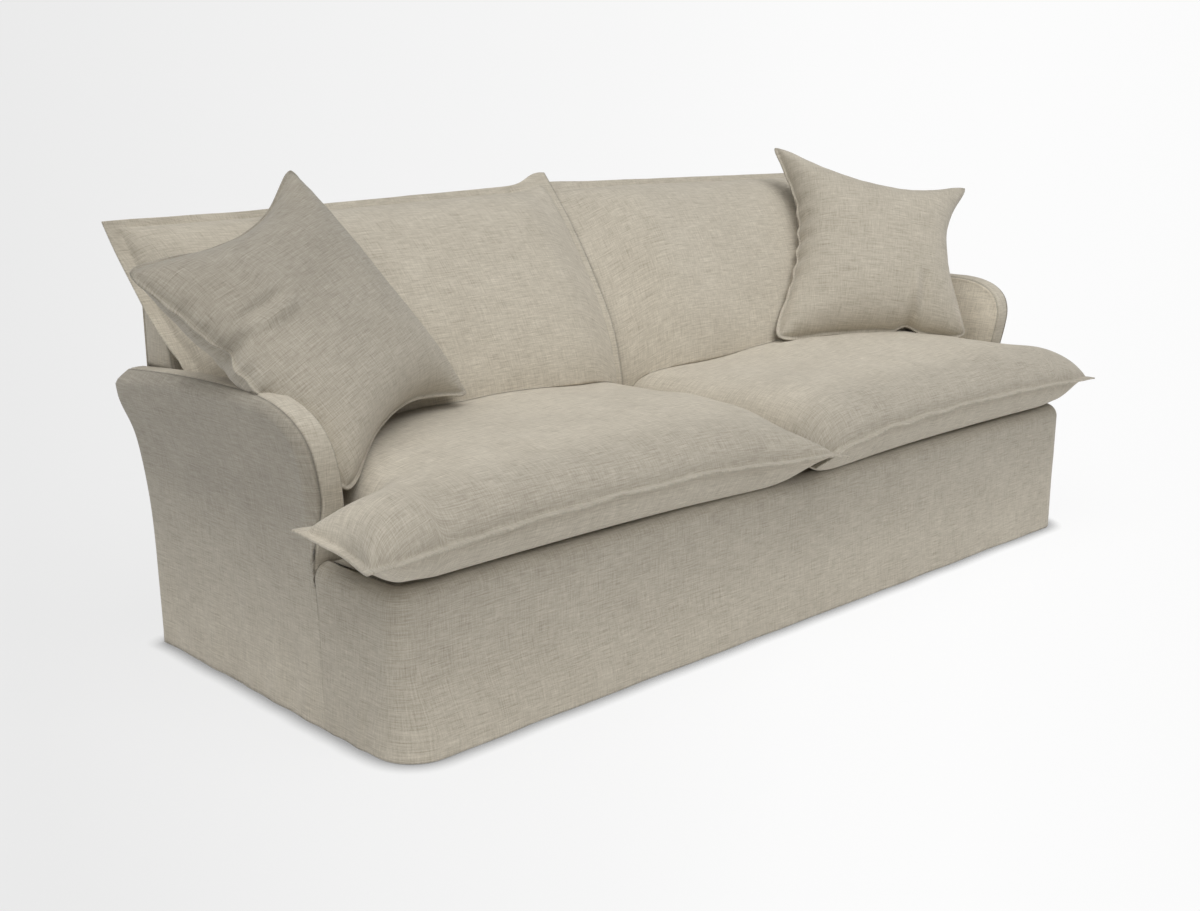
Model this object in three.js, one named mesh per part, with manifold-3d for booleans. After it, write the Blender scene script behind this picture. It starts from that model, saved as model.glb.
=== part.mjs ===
// A slipcovered three-seat sofa: hardwood frame, sinuous seat springs, foam and webbing,
// a fitted linen slipcover to the floor, and six loose cushions.
// Millimetres. X runs along the sofa, Y from front to back, Z up from the floor.
import * as THREE from "three";
import Module from "manifold-3d";
import { mergeVertices } from "three/addons/utils/BufferGeometryUtils.js";

const wasm = await Module();
wasm.setup();

// Driving sizes of the covered body
const baseWidth = 2160;
const baseDepth = 850;
const deckHeight = 325;
const backDepth = 190;
const armSetback = 232;
const armHeight = 598;
const armCrest = 631;
const armWidth = 66;
const armFlare = 63;
const armRoll = 20;
const armRollRear = 38;
const armRollReach = 44;
const backHeight = 775;
const backInset = 36;
const backTopDepth = 60;
const archRise = 28;
const cornerRadius = 65;
const backCornerRadius = 45;
const edgeRoll = 40;
const hemHeight = 2;

// Thicknesses and clearances
const cloth = 3;
const clearance = 0.3;
const seam = 0.6;
const boardThickness = 30;

// Timber frame
const railBottom = 95;
const railToDeck = 50;
const rearSeatRailHeight = 60;
const rearSeatRailBehind = 26;
const stretcherDrop = 70;
const stretcherSpacing = 660;
const postInset = 66;
const stumpDepth = 36;
const topRailHeight = 80;
const cornerBlockReach = 70;
const lowerBackRailHeight = 60;
const footTop = 58;
const footToe = 44;
const footInset = 10;
const glideRadius = 14;
const glideHeight = 6;

// Suspension and padding
const springCount = 10;
const springMargin = 225;
const springBends = 14;
const springHalfWidth = 25;
const wireRadius = 2;
const clipPlate = 1.2;
const clipWidth = 18;
const clipPlay = 0.4;
const deckPad = 20;
const backPad = 18;
const armPad = 16;
const strapWidth = 50;
const strapThickness = 2;
const verticalStraps = 8;
const horizontalStraps = 3;

// Loose cushions
const flange = 22;
const flangeThickness = 5;
const seatFront = -62;
const earOverhang = 80;
const earDepth = 232;
const seatSeamRise = 87;
const seatCrownRise = 189;
const seatSeamDroop = 24;
const seatDrawIn = 14;
const backCushionFootRise = 157;
const backCushionTopRise = 130;
const backCushionPeak = 30;
const backCushionFootSetback = 75;
const backCushionTopSetback = 13;
const backCushionWing = 66;
const backCushionWrap = 85;
const backCushionFront = 92;
const backCushionRear = 150;
const centreGap = 3;
const leftPillowSide = 550;
const rightPillowSide = 515;
const pillowThickness = 150;
const pillowDrawIn = 24;

// Sizes that follow from the driving sizes
const baseHalf = baseWidth / 2;
const backHalf = baseHalf - backInset;
const seatDepth = baseDepth - backDepth;
const earReach = baseHalf + earOverhang;
const inside = cloth + clearance;
const rearLine = baseDepth - inside;
const deckTop = deckHeight + clearance;
const sideSeam = armSetback - inside;
const padUnderside = deckHeight - inside - deckPad;
const rakeSlope = (baseDepth - backTopDepth - seatDepth) / (backHeight - deckHeight);
const rakeCosine = 1 / Math.hypot(1, rakeSlope);
const backFrameOffset = cloth + backPad + 2 * strapThickness + 4 * clearance;
const railTop = deckHeight - railToDeck;
const rearSeatRailFront = seatDepth + rearSeatRailBehind;
const seatSeamHeight = deckHeight + seatSeamRise;
const seatCrown = deckHeight + seatCrownRise;
const backCushionFoot = deckHeight + backCushionFootRise;
const backCushionTop = backHeight + backCushionTopRise;
const backCushionSetback = seatDepth - backCushionFootSetback;
const backCushionSweep = baseDepth - backCushionTopSetback - backCushionSetback;

// Counts of facets
const cornerSteps = 5;
const rollSteps = 4;
const seamSteps = 18;
const archSteps = 12;

const linen = { color: 0xaca591, roughness: 0.95, metalness: 0 };
const timber = { color: 0xc09a68, roughness: 0.7, metalness: 0 };
const springSteel = { color: 0x8b8d90, roughness: 0.4, metalness: 0.9 };
const foam = { color: 0xe9e2c8, roughness: 0.9, metalness: 0 };
const webbing = { color: 0x7a6a50, roughness: 0.9, metalness: 0 };

const sofa = new THREE.Group();
const lerp = THREE.MathUtils.lerp;
const smooth = THREE.MathUtils.smoothstep;
const sides = [["left", -1], ["right", 1]];

function shareSteps(count) {
  return Array.from({ length: count + 1 }, (_, k) => k / count);
}

// A closed mesh from a list of points and a list of triangles, turned so its faces point out
function closedMesh(points, triangles) {
  let volume = 0;
  const cross = new THREE.Vector3();
  for (const [a, b, c] of triangles) {
    volume += points[a].dot(cross.crossVectors(points[b], points[c]));
  }
  const order = volume < 0 ? [0, 2, 1] : [0, 1, 2];
  const geometry = new THREE.BufferGeometry();
  geometry.setAttribute(
    "position",
    new THREE.Float32BufferAttribute(points.flatMap((p) => [p.x, p.y, p.z]), 3),
  );
  geometry.setIndex(triangles.flatMap((t) => order.map((k) => t[k])));
  return geometry;
}

// The solid between two grids of points that have the same rows and columns
function between(first, second) {
  const rows = first.length;
  const columns = first[0].length;
  const points = [...first.flat(), ...second.flat()];
  const triangles = [];
  const at = (layer, i, j) => layer * rows * columns + i * columns + j;
  const quad = (a, b, c, d) => triangles.push([a, b, c], [a, c, d]);
  for (let i = 0; i < rows - 1; i++) {
    for (let j = 0; j < columns - 1; j++) {
      quad(at(0, i, j), at(0, i, j + 1), at(0, i + 1, j + 1), at(0, i + 1, j));
      quad(at(1, i, j), at(1, i + 1, j), at(1, i + 1, j + 1), at(1, i, j + 1));
    }
  }
  const rim = [];
  for (let j = 0; j < columns - 1; j++) rim.push([0, j]);
  for (let i = 0; i < rows - 1; i++) rim.push([i, columns - 1]);
  for (let j = columns - 1; j > 0; j--) rim.push([rows - 1, j]);
  for (let i = rows - 1; i > 0; i--) rim.push([i, 0]);
  rim.forEach(([i, j], k) => {
    const [m, n] = rim[(k + 1) % rim.length];
    quad(at(0, i, j), at(1, i, j), at(1, m, n), at(0, m, n));
  });
  return closedMesh(points, triangles);
}

// A grid of points place(u, v), with u down the rows and v along the columns
function grid(rowShares, columnShares, place) {
  return rowShares.map((u) => columnShares.map((v) => place(u, v)));
}

// The grid moved along its own normals, towards the point that lies inside the piece
function offset(points, distance, inward) {
  return points.map((row, i) => row.map((p, j) => {
    const above = points[Math.max(i - 1, 0)][j];
    const below = points[Math.min(i + 1, points.length - 1)][j];
    const before = row[Math.max(j - 1, 0)];
    const after = row[Math.min(j + 1, row.length - 1)];
    const normal = below.clone().sub(above).cross(after.clone().sub(before)).normalize();
    if (normal.dot(inward(p)) < 0) normal.negate();
    return p.clone().addScaledVector(normal, distance);
  }));
}

// A sheet or pad that fills the layer from one depth to another behind a grid
function layer(points, inward, from, thickness) {
  return between(offset(points, from, inward), offset(points, from + thickness, inward));
}

// A solid through a list of rings with equal counts of points, closed by flat caps
function loft(rings) {
  const count = rings[0].length;
  const points = rings.flat();
  const triangles = [];
  for (let k = 0; k < rings.length - 1; k++) {
    for (let i = 0; i < count; i++) {
      const a = k * count + i;
      const b = k * count + (i + 1) % count;
      triangles.push([a, b, b + count], [a, b + count, a + count]);
    }
  }
  const flat = flattened(rings[0]);
  const last = (rings.length - 1) * count;
  const caps = THREE.ShapeUtils.triangulateShape(flat, []);
  const alongRing = caps.some((t) => t.some((i, k) => i === 0 && t[(k + 1) % 3] === 1));
  for (const [a, b, c] of caps) {
    const [i, j, k] = alongRing ? [a, b, c] : [a, c, b];
    triangles.push([i, k, j], [last + i, last + j, last + k]);
  }
  return closedMesh(points, triangles);
}

// A flat ring of points as an outline in the plane that it faces most
function flattened(ring) {
  const facing = new THREE.Vector3();
  ring.forEach((p, i) => facing.add(p.clone().cross(ring[(i + 1) % ring.length])));
  const size = { x: Math.abs(facing.x), y: Math.abs(facing.y), z: Math.abs(facing.z) };
  const dropped = Object.keys(size).reduce((a, b) => (size[a] > size[b] ? a : b));
  const [first, second] = Object.keys(size).filter((key) => key !== dropped);
  return ring.map((p) => new THREE.Vector2(p[first], p[second]));
}

// A board cut from an outline and placed by a matrix that stands it up
function board(outline, thickness, place) {
  const geometry = new THREE.ExtrudeGeometry(outline, {
    depth: thickness,
    bevelEnabled: false,
    curveSegments: 6,
  });
  place(geometry);
  return geometry;
}

function block(x, y, z) {
  const geometry = new THREE.BoxGeometry(x[1] - x[0], y[1] - y[0], z[1] - z[0]);
  return geometry.translate((x[0] + x[1]) / 2, (y[0] + y[1]) / 2, (z[0] + z[1]) / 2);
}

function outlineOf(points) {
  return new THREE.Shape(points.map(([x, y]) => new THREE.Vector2(x, y)));
}

function weld(geometry) {
  const plain = geometry.clone();
  for (const name of Object.keys(plain.attributes)) {
    if (name !== "position") plain.deleteAttribute(name);
  }
  return mergeVertices(plain);
}

function toSolid(geometry) {
  const merged = weld(geometry);
  return new wasm.Manifold(new wasm.Mesh({
    numProp: 3,
    vertProperties: new Float32Array(merged.getAttribute("position").array),
    triVerts: new Uint32Array(merged.getIndex().array),
  }));
}

function fromSolid(solid) {
  const mesh = solid.getMesh();
  const geometry = new THREE.BufferGeometry();
  geometry.setAttribute("position", new THREE.BufferAttribute(mesh.vertProperties, 3));
  geometry.setIndex(new THREE.BufferAttribute(mesh.triVerts, 1));
  return geometry;
}

// Overlapping bodies joined into one
function fuse(geometries) {
  return fromSolid(geometries.map(toSolid).reduce((sum, next) => sum.add(next)));
}

// The first body less the neighbours, each moved a little towards it to leave a clearance
function cutBy(geometry, neighbours) {
  let solid = toSolid(geometry);
  for (const [neighbour, shift] of neighbours) {
    solid = solid.subtract(toSolid(neighbour.clone().translate(...shift)));
  }
  const parts = solid.decompose();
  parts.sort((a, b) => b.volume() - a.volume());
  return fromSolid(parts[0]);
}

function add(name, geometry, look) {
  geometry.computeVertexNormals();
  const mesh = new THREE.Mesh(geometry, new THREE.MeshStandardMaterial(look));
  mesh.name = name;
  sofa.add(mesh);
}

// The half width of the covered body at a height: straight at the floor, flared at the arms
function halfAt(z) {
  const flareCurve = 3.2;
  return baseHalf + armFlare * Math.pow(Math.max(z, 0) / armHeight, flareCurve);
}

// The face of the inside back, raked from the deck to the top
function backFace(z) {
  return seatDepth + (z - deckHeight) * rakeSlope;
}

function backFrameFace(z) {
  return backFace(z) + backFrameOffset / rakeCosine;
}

const deckHalf = halfAt(deckHeight) - armWidth;
const postOuter = backHalf - postInset + boardThickness / 2;
const postInner = postOuter - boardThickness;
const sideRailOuter = baseHalf - inside;
const sideRailInner = sideRailOuter - boardThickness;
const towardsCentre = (p) => new THREE.Vector3(-Math.sign(p.x), 0, 0);
const backwards = () => new THREE.Vector3(0, 1, 0);
const downwards = () => new THREE.Vector3(0, 0, -1);

// Front border: one cloth that wraps both front corners and rolls over on to the deck
function borderPlan() {
  const stations = [];
  const straightShares = [0, 0.5];
  const frontShares = shareSteps(8);
  for (const share of straightShares) {
    stations.push({ x: -baseHalf, y: lerp(sideSeam, cornerRadius, share), nx: 1, ny: 0 });
  }
  for (const share of shareSteps(cornerSteps)) {
    const angle = share * Math.PI / 2;
    const nx = Math.cos(angle);
    const ny = Math.sin(angle);
    stations.push({
      x: -baseHalf + cornerRadius * (1 - nx),
      y: cornerRadius * (1 - ny),
      nx,
      ny,
    });
  }
  const left = stations.slice();
  for (const share of frontShares.slice(1, -1)) {
    const x = lerp(cornerRadius - baseHalf, baseHalf - cornerRadius, share);
    stations.push({ x, y: 0, nx: 0, ny: 1 });
  }
  for (const s of left.reverse()) stations.push({ x: -s.x, y: s.y, nx: -s.nx, ny: s.ny });
  return stations;
}

function borderGrid() {
  const wallShares = [0, 0.5, 1];
  const profile = wallShares.map((share) => [0, lerp(hemHeight, deckHeight - edgeRoll, share)]);
  for (const share of shareSteps(rollSteps).slice(1)) {
    const angle = share * Math.PI / 2;
    profile.push([edgeRoll * (1 - Math.cos(angle)), deckHeight - edgeRoll * (1 - Math.sin(angle))]);
  }
  return borderPlan().map((s) => profile.map(([inset, z]) => {
    const spread = (halfAt(z) - baseHalf) * smooth(s.y, 0, sideSeam) * Math.sign(s.x);
    return new THREE.Vector3(s.x + s.nx * inset + spread, s.y + s.ny * inset, z);
  }));
}

function frontBorder() {
  const inward = (p) => new THREE.Vector3(
    Math.abs(p.x) > baseHalf - cornerRadius ? -Math.sign(p.x) : 0,
    p.y < cornerRadius ? 1 : 0,
    p.z > deckHeight - edgeRoll ? -1 : 0,
  );
  add("front_border", layer(borderGrid(), inward, 0, cloth), linen);
}

// The T-shaped outline of the deck: full width in front of the arms, narrower between them
function deckOutline(inset, edge, arms, rear) {
  const points = [];
  const frontHalf = baseHalf - inset;
  const radius = Math.max(cornerRadius - inset, edge);
  for (const share of shareSteps(cornerSteps)) {
    const angle = share * Math.PI / 2;
    points.push([
      frontHalf - radius * (1 - Math.sin(angle)),
      inset + radius * (1 - Math.cos(angle)),
    ]);
  }
  points.push([frontHalf, sideSeam - edge], [arms, sideSeam - edge], [arms, rear]);
  const mirrored = points.map(([x, y]) => [-x, y]).reverse();
  return [...points, ...mirrored];
}

function deck() {
  const padRadius = edgeRoll - inside - 2 * seam;
  const padEdgeShares = [0, 0.4, 0.8, 1];
  const rollCentre = deckHeight - edgeRoll;
  const rings = padEdgeShares.map((share) => {
    const z = lerp(padUnderside, deckHeight - inside, share);
    const rise = Math.min((z - rollCentre) / padRadius, 1);
    const inset = edgeRoll - padRadius * Math.sqrt(1 - rise * rise);
    const outline = deckOutline(inset, cloth, deckHalf, backFace(z));
    return outline.map(([x, y]) => new THREE.Vector3(x, y, z));
  });
  add("deck_pad", loft(rings), foam);
  const cover = deckOutline(edgeRoll + seam, cloth, deckHalf - seam, seatDepth);
  const shape = outlineOf(cover);
  const upTo = (g) => g.translate(0, 0, deckHeight - cloth);
  add("deck_cover", board(shape, cloth, upTo), linen);
}

// The line of the outer arm seam, from the rear corner over the crest and down to the deck
function armSeamPoints() {
  const crestFront = armSetback + armWidth * 1.8;
  const noseFront = armSetback - armWidth * 0.6;
  const noseHeight = lerp(deckHeight, armHeight, 0.75);
  const path = new THREE.Path();
  path.moveTo(rearLine, armHeight);
  path.quadraticCurveTo(lerp(rearLine, crestFront, 0.6), armCrest, crestFront, armCrest);
  path.quadraticCurveTo(noseFront, armCrest, noseFront, noseHeight);
  path.quadraticCurveTo(noseFront, lerp(deckTop, noseHeight, 0.6), armSetback, deckTop);
  return path.getSpacedPoints(seamSteps).map((p) => ({ y: p.x, z: p.y }));
}

// How far a point of the arm's side lies from the seam line, seen from the side
function seamDistance(y, z) {
  const line = armSeamPoints();
  const point = new THREE.Vector3(0, y, z);
  const nearest = new THREE.Vector3();
  return Math.min(...line.slice(1).map((b, k) => {
    const a = line[k];
    const piece = new THREE.Line3(new THREE.Vector3(0, a.y, a.z), new THREE.Vector3(0, b.y, b.z));
    return piece.closestPointToPoint(point, true, nearest).distanceTo(point);
  }));
}

// How far the arm's outer side rolls inwards as it nears the seam, more towards the back
function rollAt(y, z, distance) {
  const depth = lerp(armRoll, armRollRear, smooth(y, armSetback, rearLine));
  const standing = smooth(z, deckTop, deckTop + 2 * armWidth);
  return depth * standing * Math.pow(Math.max(1 - distance / armRollReach, 0), 1.8);
}

function outerArmGrid(side) {
  const top = armSeamPoints();
  const heightShares = [0, 0.3, 0.6, 0.84, 0.93, 0.97, 1];
  return grid(shareSteps(seamSteps), heightShares, (u, v) => {
    const t = top[Math.round(u * seamSteps)];
    const footY = lerp(rearLine, sideSeam + 2 * seam, u);
    const y = lerp(footY, t.y, Math.pow(v, 3));
    const z = lerp(hemHeight, t.z, v);
    return new THREE.Vector3(side * (halfAt(z) - rollAt(y, z, seamDistance(y, z))), y, z);
  });
}

function innerArmGrid(side) {
  const top = armSeamPoints();
  return grid(shareSteps(seamSteps), shareSteps(6), (u, v) => {
    const t = top[Math.round(u * seamSteps)];
    const z = lerp(deckTop, t.z, v);
    const rear = lerp(backFace(z) - clearance, rearLine, smooth(z, lerp(deckTop, armHeight, 0.55), armHeight));
    const start = lerp(rear, armSetback, u);
    const y = lerp(start, t.y, Math.pow(v, 2));
    return new THREE.Vector3(side * (halfAt(z) - armWidth), y, z);
  });
}

// The band over the arm top and down its front, between the two seams
function armBandGrid(side) {
  const edge = cloth + seam;
  return armSeamPoints().map(({ y, z }) => [0, 0.5, 1].map((v) => {
    const from = halfAt(z) - rollAt(y, z, 0) - edge;
    const to = halfAt(z) - armWidth + edge;
    return new THREE.Vector3(side * lerp(from, to, v), y, z);
  }));
}

const bandInward = (p) => new THREE.Vector3(0, p.y < armSetback + armWidth ? 1 : 0, -1);
const outwards = (p) => new THREE.Vector3(Math.sign(p.x), 0, 0);

function armCovers([name, side]) {
  add(`outer_arm_${name}`, layer(outerArmGrid(side), towardsCentre, 0, cloth), linen);
  add(`arm_band_${name}`, layer(armBandGrid(side), bandInward, 0, cloth), linen);
  add(`inside_arm_${name}`, layer(innerArmGrid(side), outwards, 0, cloth), linen);
}

// Arm frame: a flared stump at each end and a rail under the band
function stump(side, yFrom, topHeight) {
  const heightShares = shareSteps(10);
  const rings = heightShares.map((share) => {
    const z = lerp(railTop + clearance, topHeight, share);
    const roll = rollAt(yFrom, z, seamDistance(yFrom, z) - boardThickness / 2);
    const outer = halfAt(z) - inside - seam / 2 - roll;
    const inner = outer - stumpDepth;
    return [[outer, yFrom], [outer, yFrom + boardThickness], [inner, yFrom + boardThickness], [inner, yFrom]]
      .map(([x, y]) => new THREE.Vector3(side * x, y, z));
  });
  return loft(rings);
}

function armFrame([name, side]) {
  const railDrop = inside + armWidth * 0.3;
  const railDepth = 24;
  const stumpFront = armSetback + armWidth * 0.6;
  const seamLine = armSeamPoints();
  const heightAt = (y) => {
    const k = Math.max(seamLine.findIndex((p) => p.y <= y), 1);
    const a = seamLine[k - 1];
    const b = seamLine[k];
    return lerp(a.z, b.z, (a.y - y) / (a.y - b.y));
  };
  const rings = shareSteps(8).map((share) => {
    const y = lerp(rearLine, stumpFront, share);
    const top = heightAt(y) - railDrop;
    const outer = halfAt(top - railDepth) - inside - seam - rollAt(y, top, railDrop);
    const inner = outer - stumpDepth;
    return [[outer, top], [inner, top], [inner, top - railDepth], [outer, top - railDepth]]
      .map(([x, z]) => new THREE.Vector3(side * x, y, z));
  });
  add(`arm_top_rail_${name}`, loft(rings), timber);
  const underside = (y) => heightAt(y) - railDrop - railDepth - clearance;
  const frontTop = Math.min(underside(stumpFront), underside(stumpFront + boardThickness));
  const rearFrom = rearLine - boardThickness;
  const rearTop = Math.min(underside(rearFrom), underside(rearLine));
  add(`arm_front_stump_${name}`, stump(side, stumpFront, frontTop - clearance), timber);
  add(`arm_rear_stump_${name}`, stump(side, rearFrom, rearTop - clearance), timber);
}

function armPads([name, side]) {
  const points = innerArmGrid(side).slice(4, -3).map((row) => row.slice(0, -1));
  add(`arm_pad_${name}`, layer(points, outwards, cloth + clearance, armPad), foam);
}

// Base rails, posts and feet
function base() {
  const front = inside;
  const railHalf = baseHalf - cornerRadius;
  const heights = [railBottom, railTop];
  const behindFront = front + boardThickness + clearance;
  const rearRailFront = rearLine - boardThickness;
  const betweenPosts = postInner - clearance;
  const frontBlock = block([-railHalf, railHalf], [front, front + boardThickness], heights);
  add("front_rail", fuse([frontBlock, ...springClips(1)]), timber);
  add("back_rail", block([-betweenPosts, betweenPosts], [rearRailFront, rearLine], heights), timber);
  const rearSeat = [rearSeatRailFront, rearSeatRailFront + boardThickness];
  const rearSeatZ = [railTop - rearSeatRailHeight, railTop];
  const rearBlock = block([-betweenPosts, betweenPosts], rearSeat, rearSeatZ);
  add("seat_rear_rail", fuse([rearBlock, ...springClips(-1)]), timber);
  for (const [name, side] of sides) {
    const x = [side * sideRailOuter, side * sideRailInner].sort((a, b) => a - b);
    const y = [cornerRadius + clearance, rearLine];
    add(`side_rail_${name}`, block(x, y, heights), timber);
    const post = cornerPost(side, railHalf + clearance);
    add(`front_corner_post_${name}`, fuse([post, frontCornerBlock(side, behindFront)]), timber);
    add(`rear_corner_block_${name}`, rearCornerBlock(side, rearRailFront), timber);
    const sx = side * stretcherSpacing / 2;
    const stretcherX = [sx - boardThickness / 2, sx + boardThickness / 2];
    const stretcherZ = [railBottom, railTop - stretcherDrop];
    const length = [behindFront, rearRailFront - clearance];
    add(`seat_stretcher_${name}`, block(stretcherX, length, stretcherZ), timber);
  }
}

// The front post fills the rounded corner, between the ends of the front and side rails
function cornerPost(side, innerX) {
  const radius = cornerRadius - inside - seam;
  const shape = new THREE.Shape();
  shape.moveTo(innerX, cornerRadius - radius);
  shape.absarc(baseHalf - cornerRadius, cornerRadius, radius, -Math.PI / 2, 0, false);
  shape.lineTo(innerX, cornerRadius);
  shape.closePath();
  const points = shape.extractPoints(cornerSteps).shape;
  const rings = [railBottom, railTop].map((z) =>
    points.map((p) => new THREE.Vector3(side * p.x, p.y, z)));
  return loft(rings);
}

function upright(outline) {
  const rings = [railBottom, railTop].map((z) => outline.map(([x, y]) => new THREE.Vector3(x, y, z)));
  return loft(rings);
}

// A glue block in the corner behind the front rail, one piece with the post
function frontCornerBlock(side, behindFront) {
  const x = side * (sideRailInner - clearance);
  const corner = [
    [x, behindFront],
    [x, behindFront + cornerBlockReach],
    [x - side * cornerBlockReach, behindFront],
  ];
  return upright(corner);
}

function rearCornerBlock(side, rearRailFront) {
  const outer = side * (sideRailInner - clearance);
  const inner = side * (postOuter + clearance);
  const front = rearRailFront - cornerBlockReach;
  return upright([[outer, rearLine], [outer, front], [inner, front], [inner, rearLine]]);
}

function feet() {
  const places = [];
  const rowsY = [["front", footInset], ["rear", rearLine - footInset]];
  const across = baseHalf - cornerRadius - footTop / 2;
  for (const [row, y] of rowsY) {
    for (const [name, x] of [["left", -across], ["centre", 0], ["right", across]]) {
      places.push([`foot_${row}_${name}`, x, row === "front" ? y + footTop / 2 : y - footTop / 2]);
    }
  }
  const height = railBottom - clearance - glideHeight;
  for (const [name, x, y] of places) {
    const foot = new THREE.CylinderGeometry(footTop / Math.SQRT2, footToe / Math.SQRT2, height, 4, 1);
    foot.rotateY(Math.PI / 4).rotateX(Math.PI / 2);
    foot.translate(x, y, glideHeight + height / 2);
    const glide = new THREE.CylinderGeometry(glideRadius, glideRadius, 2 * glideHeight, 16, 1);
    glide.rotateX(Math.PI / 2).translate(x, y, glideHeight);
    add(name, fuse([foot, glide]), timber);
  }
}

// Back frame: raked posts, a centre upright and an arched top rail
function backTop(x) {
  const share = Math.min(Math.abs(x) / backHalf, 1);
  return backHeight + archRise * (1 - share * share);
}

function backPost(xFrom) {
  const mid = xFrom + boardThickness / 2;
  const top = Math.min(backTop(xFrom), backTop(xFrom + boardThickness))
    - inside - topRailHeight - clearance;
  const outline = outlineOf([
    [backFrameFace(railTop), railBottom],
    [rearLine, railBottom],
    [rearLine, top],
    [backFrameFace(top), top],
    [backFrameFace(railTop), railTop],
  ]);
  return board(outline, boardThickness, (g) => {
    g.rotateX(Math.PI / 2).rotateZ(Math.PI / 2);
    g.translate(mid - boardThickness / 2, 0, 0);
  });
}

// A board that stands on the lower back rail and leans with the back
function centreUpright(bottom) {
  const half = boardThickness / 2;
  const top = backTop(half) - inside - topRailHeight - clearance;
  const front = grid([-1, 1], [0, 1], (u, v) => {
    const z = lerp(bottom, top, v);
    return new THREE.Vector3(u * half, backFrameFace(z), z);
  });
  return between(front, front.map((row) => row.map((p) => p.clone().setY(p.y + boardThickness))));
}

function backFrame() {
  for (const [name, side] of sides) {
    const xFrom = side < 0 ? -postOuter : postInner;
    add(`back_post_${name}`, backPost(xFrom), timber);
  }
  const lowerRail = grid([-1, 1], [0, 1], (u, v) => {
    const z = deckHeight + v * lowerBackRailHeight;
    return new THREE.Vector3(u * (postInner - clearance), backFrameFace(z), z);
  });
  const lowerRailRear = lowerRail.map((row) => row.map((p) => p.clone().setY(p.y + boardThickness)));
  add("back_lower_rail", between(lowerRail, lowerRailRear), timber);
  const bottom = deckHeight + lowerBackRailHeight + clearance;
  add("back_centre_upright", centreUpright(bottom), timber);
  const railHalf = backHalf - backCornerRadius;
  const place = (face) => grid(shareSteps(archSteps), [0, 1], (u, v) => {
    const x = lerp(-railHalf, railHalf, u);
    const z = backTop(x) - inside - lerp(topRailHeight, 0, v);
    return new THREE.Vector3(x, face(z), z);
  });
  add("back_top_rail", between(place(backFrameFace), place(() => rearLine)), timber);
}

// The outline of the back above the arms: two sides, rounded corners and the arched top
function backOutline(inset, lower) {
  const half = backHalf - inset;
  const radius = backCornerRadius - inset;
  const archHalf = half - radius;
  const archShares = shareSteps(archSteps).slice(1, -1);
  const corner = shareSteps(cornerSteps).map((share) => {
    const angle = share * Math.PI / 2;
    const z = backTop(archHalf) - inset - radius * (1 - Math.sin(angle));
    return [-archHalf - radius * Math.cos(angle), z];
  });
  const left = [[-half, lower], ...corner];
  const arch = archShares.map((share) => {
    const x = lerp(-archHalf, archHalf, share);
    return [x, backTop(x) - inset];
  });
  return [...left, ...arch, ...left.map(([x, z]) => [-x, z]).reverse()];
}

function insideBackGrid(inset) {
  const top = backOutline(inset, armHeight - inset);
  const footHalf = deckHalf - inset;
  return top.map(([topX, topZ], k) => shareSteps(4).map((v) => {
    const z = lerp(deckTop + Math.max(inset, 0) / 2, topZ, v);
    const inner = halfAt(z) - armWidth - inset;
    const limit = Math.min(backHalf - inset, Math.max(inner, footHalf));
    const footX = lerp(-footHalf, footHalf, k / (top.length - 1));
    const x = THREE.MathUtils.clamp(lerp(footX, topX, v), -limit, limit);
    return new THREE.Vector3(x, backFace(z), z);
  }));
}

// The whole back as one body, to shape what leans on it
function backBody() {
  const face = insideBackGrid(-clearance);
  const rear = face.map((row) => row.map((p) => p.clone().setY(baseDepth + clearance)));
  return between(face, rear);
}

function backCovers() {
  add("inside_back", layer(insideBackGrid(inside), backwards, 0, cloth), linen);
  add("back_pad", layer(insideBackGrid(edgeRoll / 2), backwards, inside, backPad), foam);
  const path = backOutline(0, armHeight + cloth);
  const band = path.map(([x, z]) => [0, 1].map((v) => {
    const front = backFace(z) + cloth / rakeCosine + clearance;
    return new THREE.Vector3(x, lerp(front, rearLine, v), z);
  }));
  const inward = (p) => new THREE.Vector3(
    Math.abs(p.x) > backHalf - backCornerRadius ? -Math.sign(p.x) : 0,
    0,
    p.z > backHeight - backCornerRadius ? -1 : 0,
  );
  add("back_top_band", layer(band, inward, 0, cloth), linen);
  add("outside_back", outsideBack(path), linen);
}

function outsideBack(path) {
  const flareShares = [0, 0.2, 0.4, 0.6, 0.8, 0.93, 0.97, 1];
  const right = flareShares.map((share) => {
    const z = lerp(hemHeight, armHeight, share);
    return [halfAt(z) - rollAt(rearLine, z, armHeight - z), z];
  });
  const left = right.map(([x, z]) => [-x, z]).reverse();
  const outline = outlineOf([...right, ...path.slice().reverse(), ...left]);
  return board(outline, cloth, (g) => g.rotateX(Math.PI / 2).translate(0, baseDepth, 0));
}

// Webbing: vertical straps in front, horizontal straps behind them
function strap(xFrom, xTo, zFrom, zTo, depth) {
  const points = grid([0, 1], [0, 1], (u, v) => {
    const z = lerp(zFrom, zTo, v);
    return new THREE.Vector3(lerp(xFrom, xTo, u), backFace(z), z);
  });
  return layer(points, backwards, depth, strapThickness);
}

function backWebbing() {
  const first = inside + backPad + clearance;
  const second = first + strapThickness / 2;
  const lowest = deckHeight + lowerBackRailHeight / 4;
  const highest = backHeight - inside - topRailHeight / 2;
  const run = 2 * postInner;
  const straps = [];
  for (let k = 0; k < verticalStraps; k++) {
    const x = (k + 0.5) / verticalStraps * run - postInner;
    straps.push(strap(x - strapWidth / 2, x + strapWidth / 2, lowest, highest, first));
  }
  for (let k = 0; k < horizontalStraps; k++) {
    const z = lerp(lowest, highest - topRailHeight, (k + 0.5) / horizontalStraps);
    straps.push(strap(-postOuter, postOuter, z - strapWidth / 2, z + strapWidth / 2, second));
  }
  add("back_webbing", fuse(straps), webbing);
}

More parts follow.
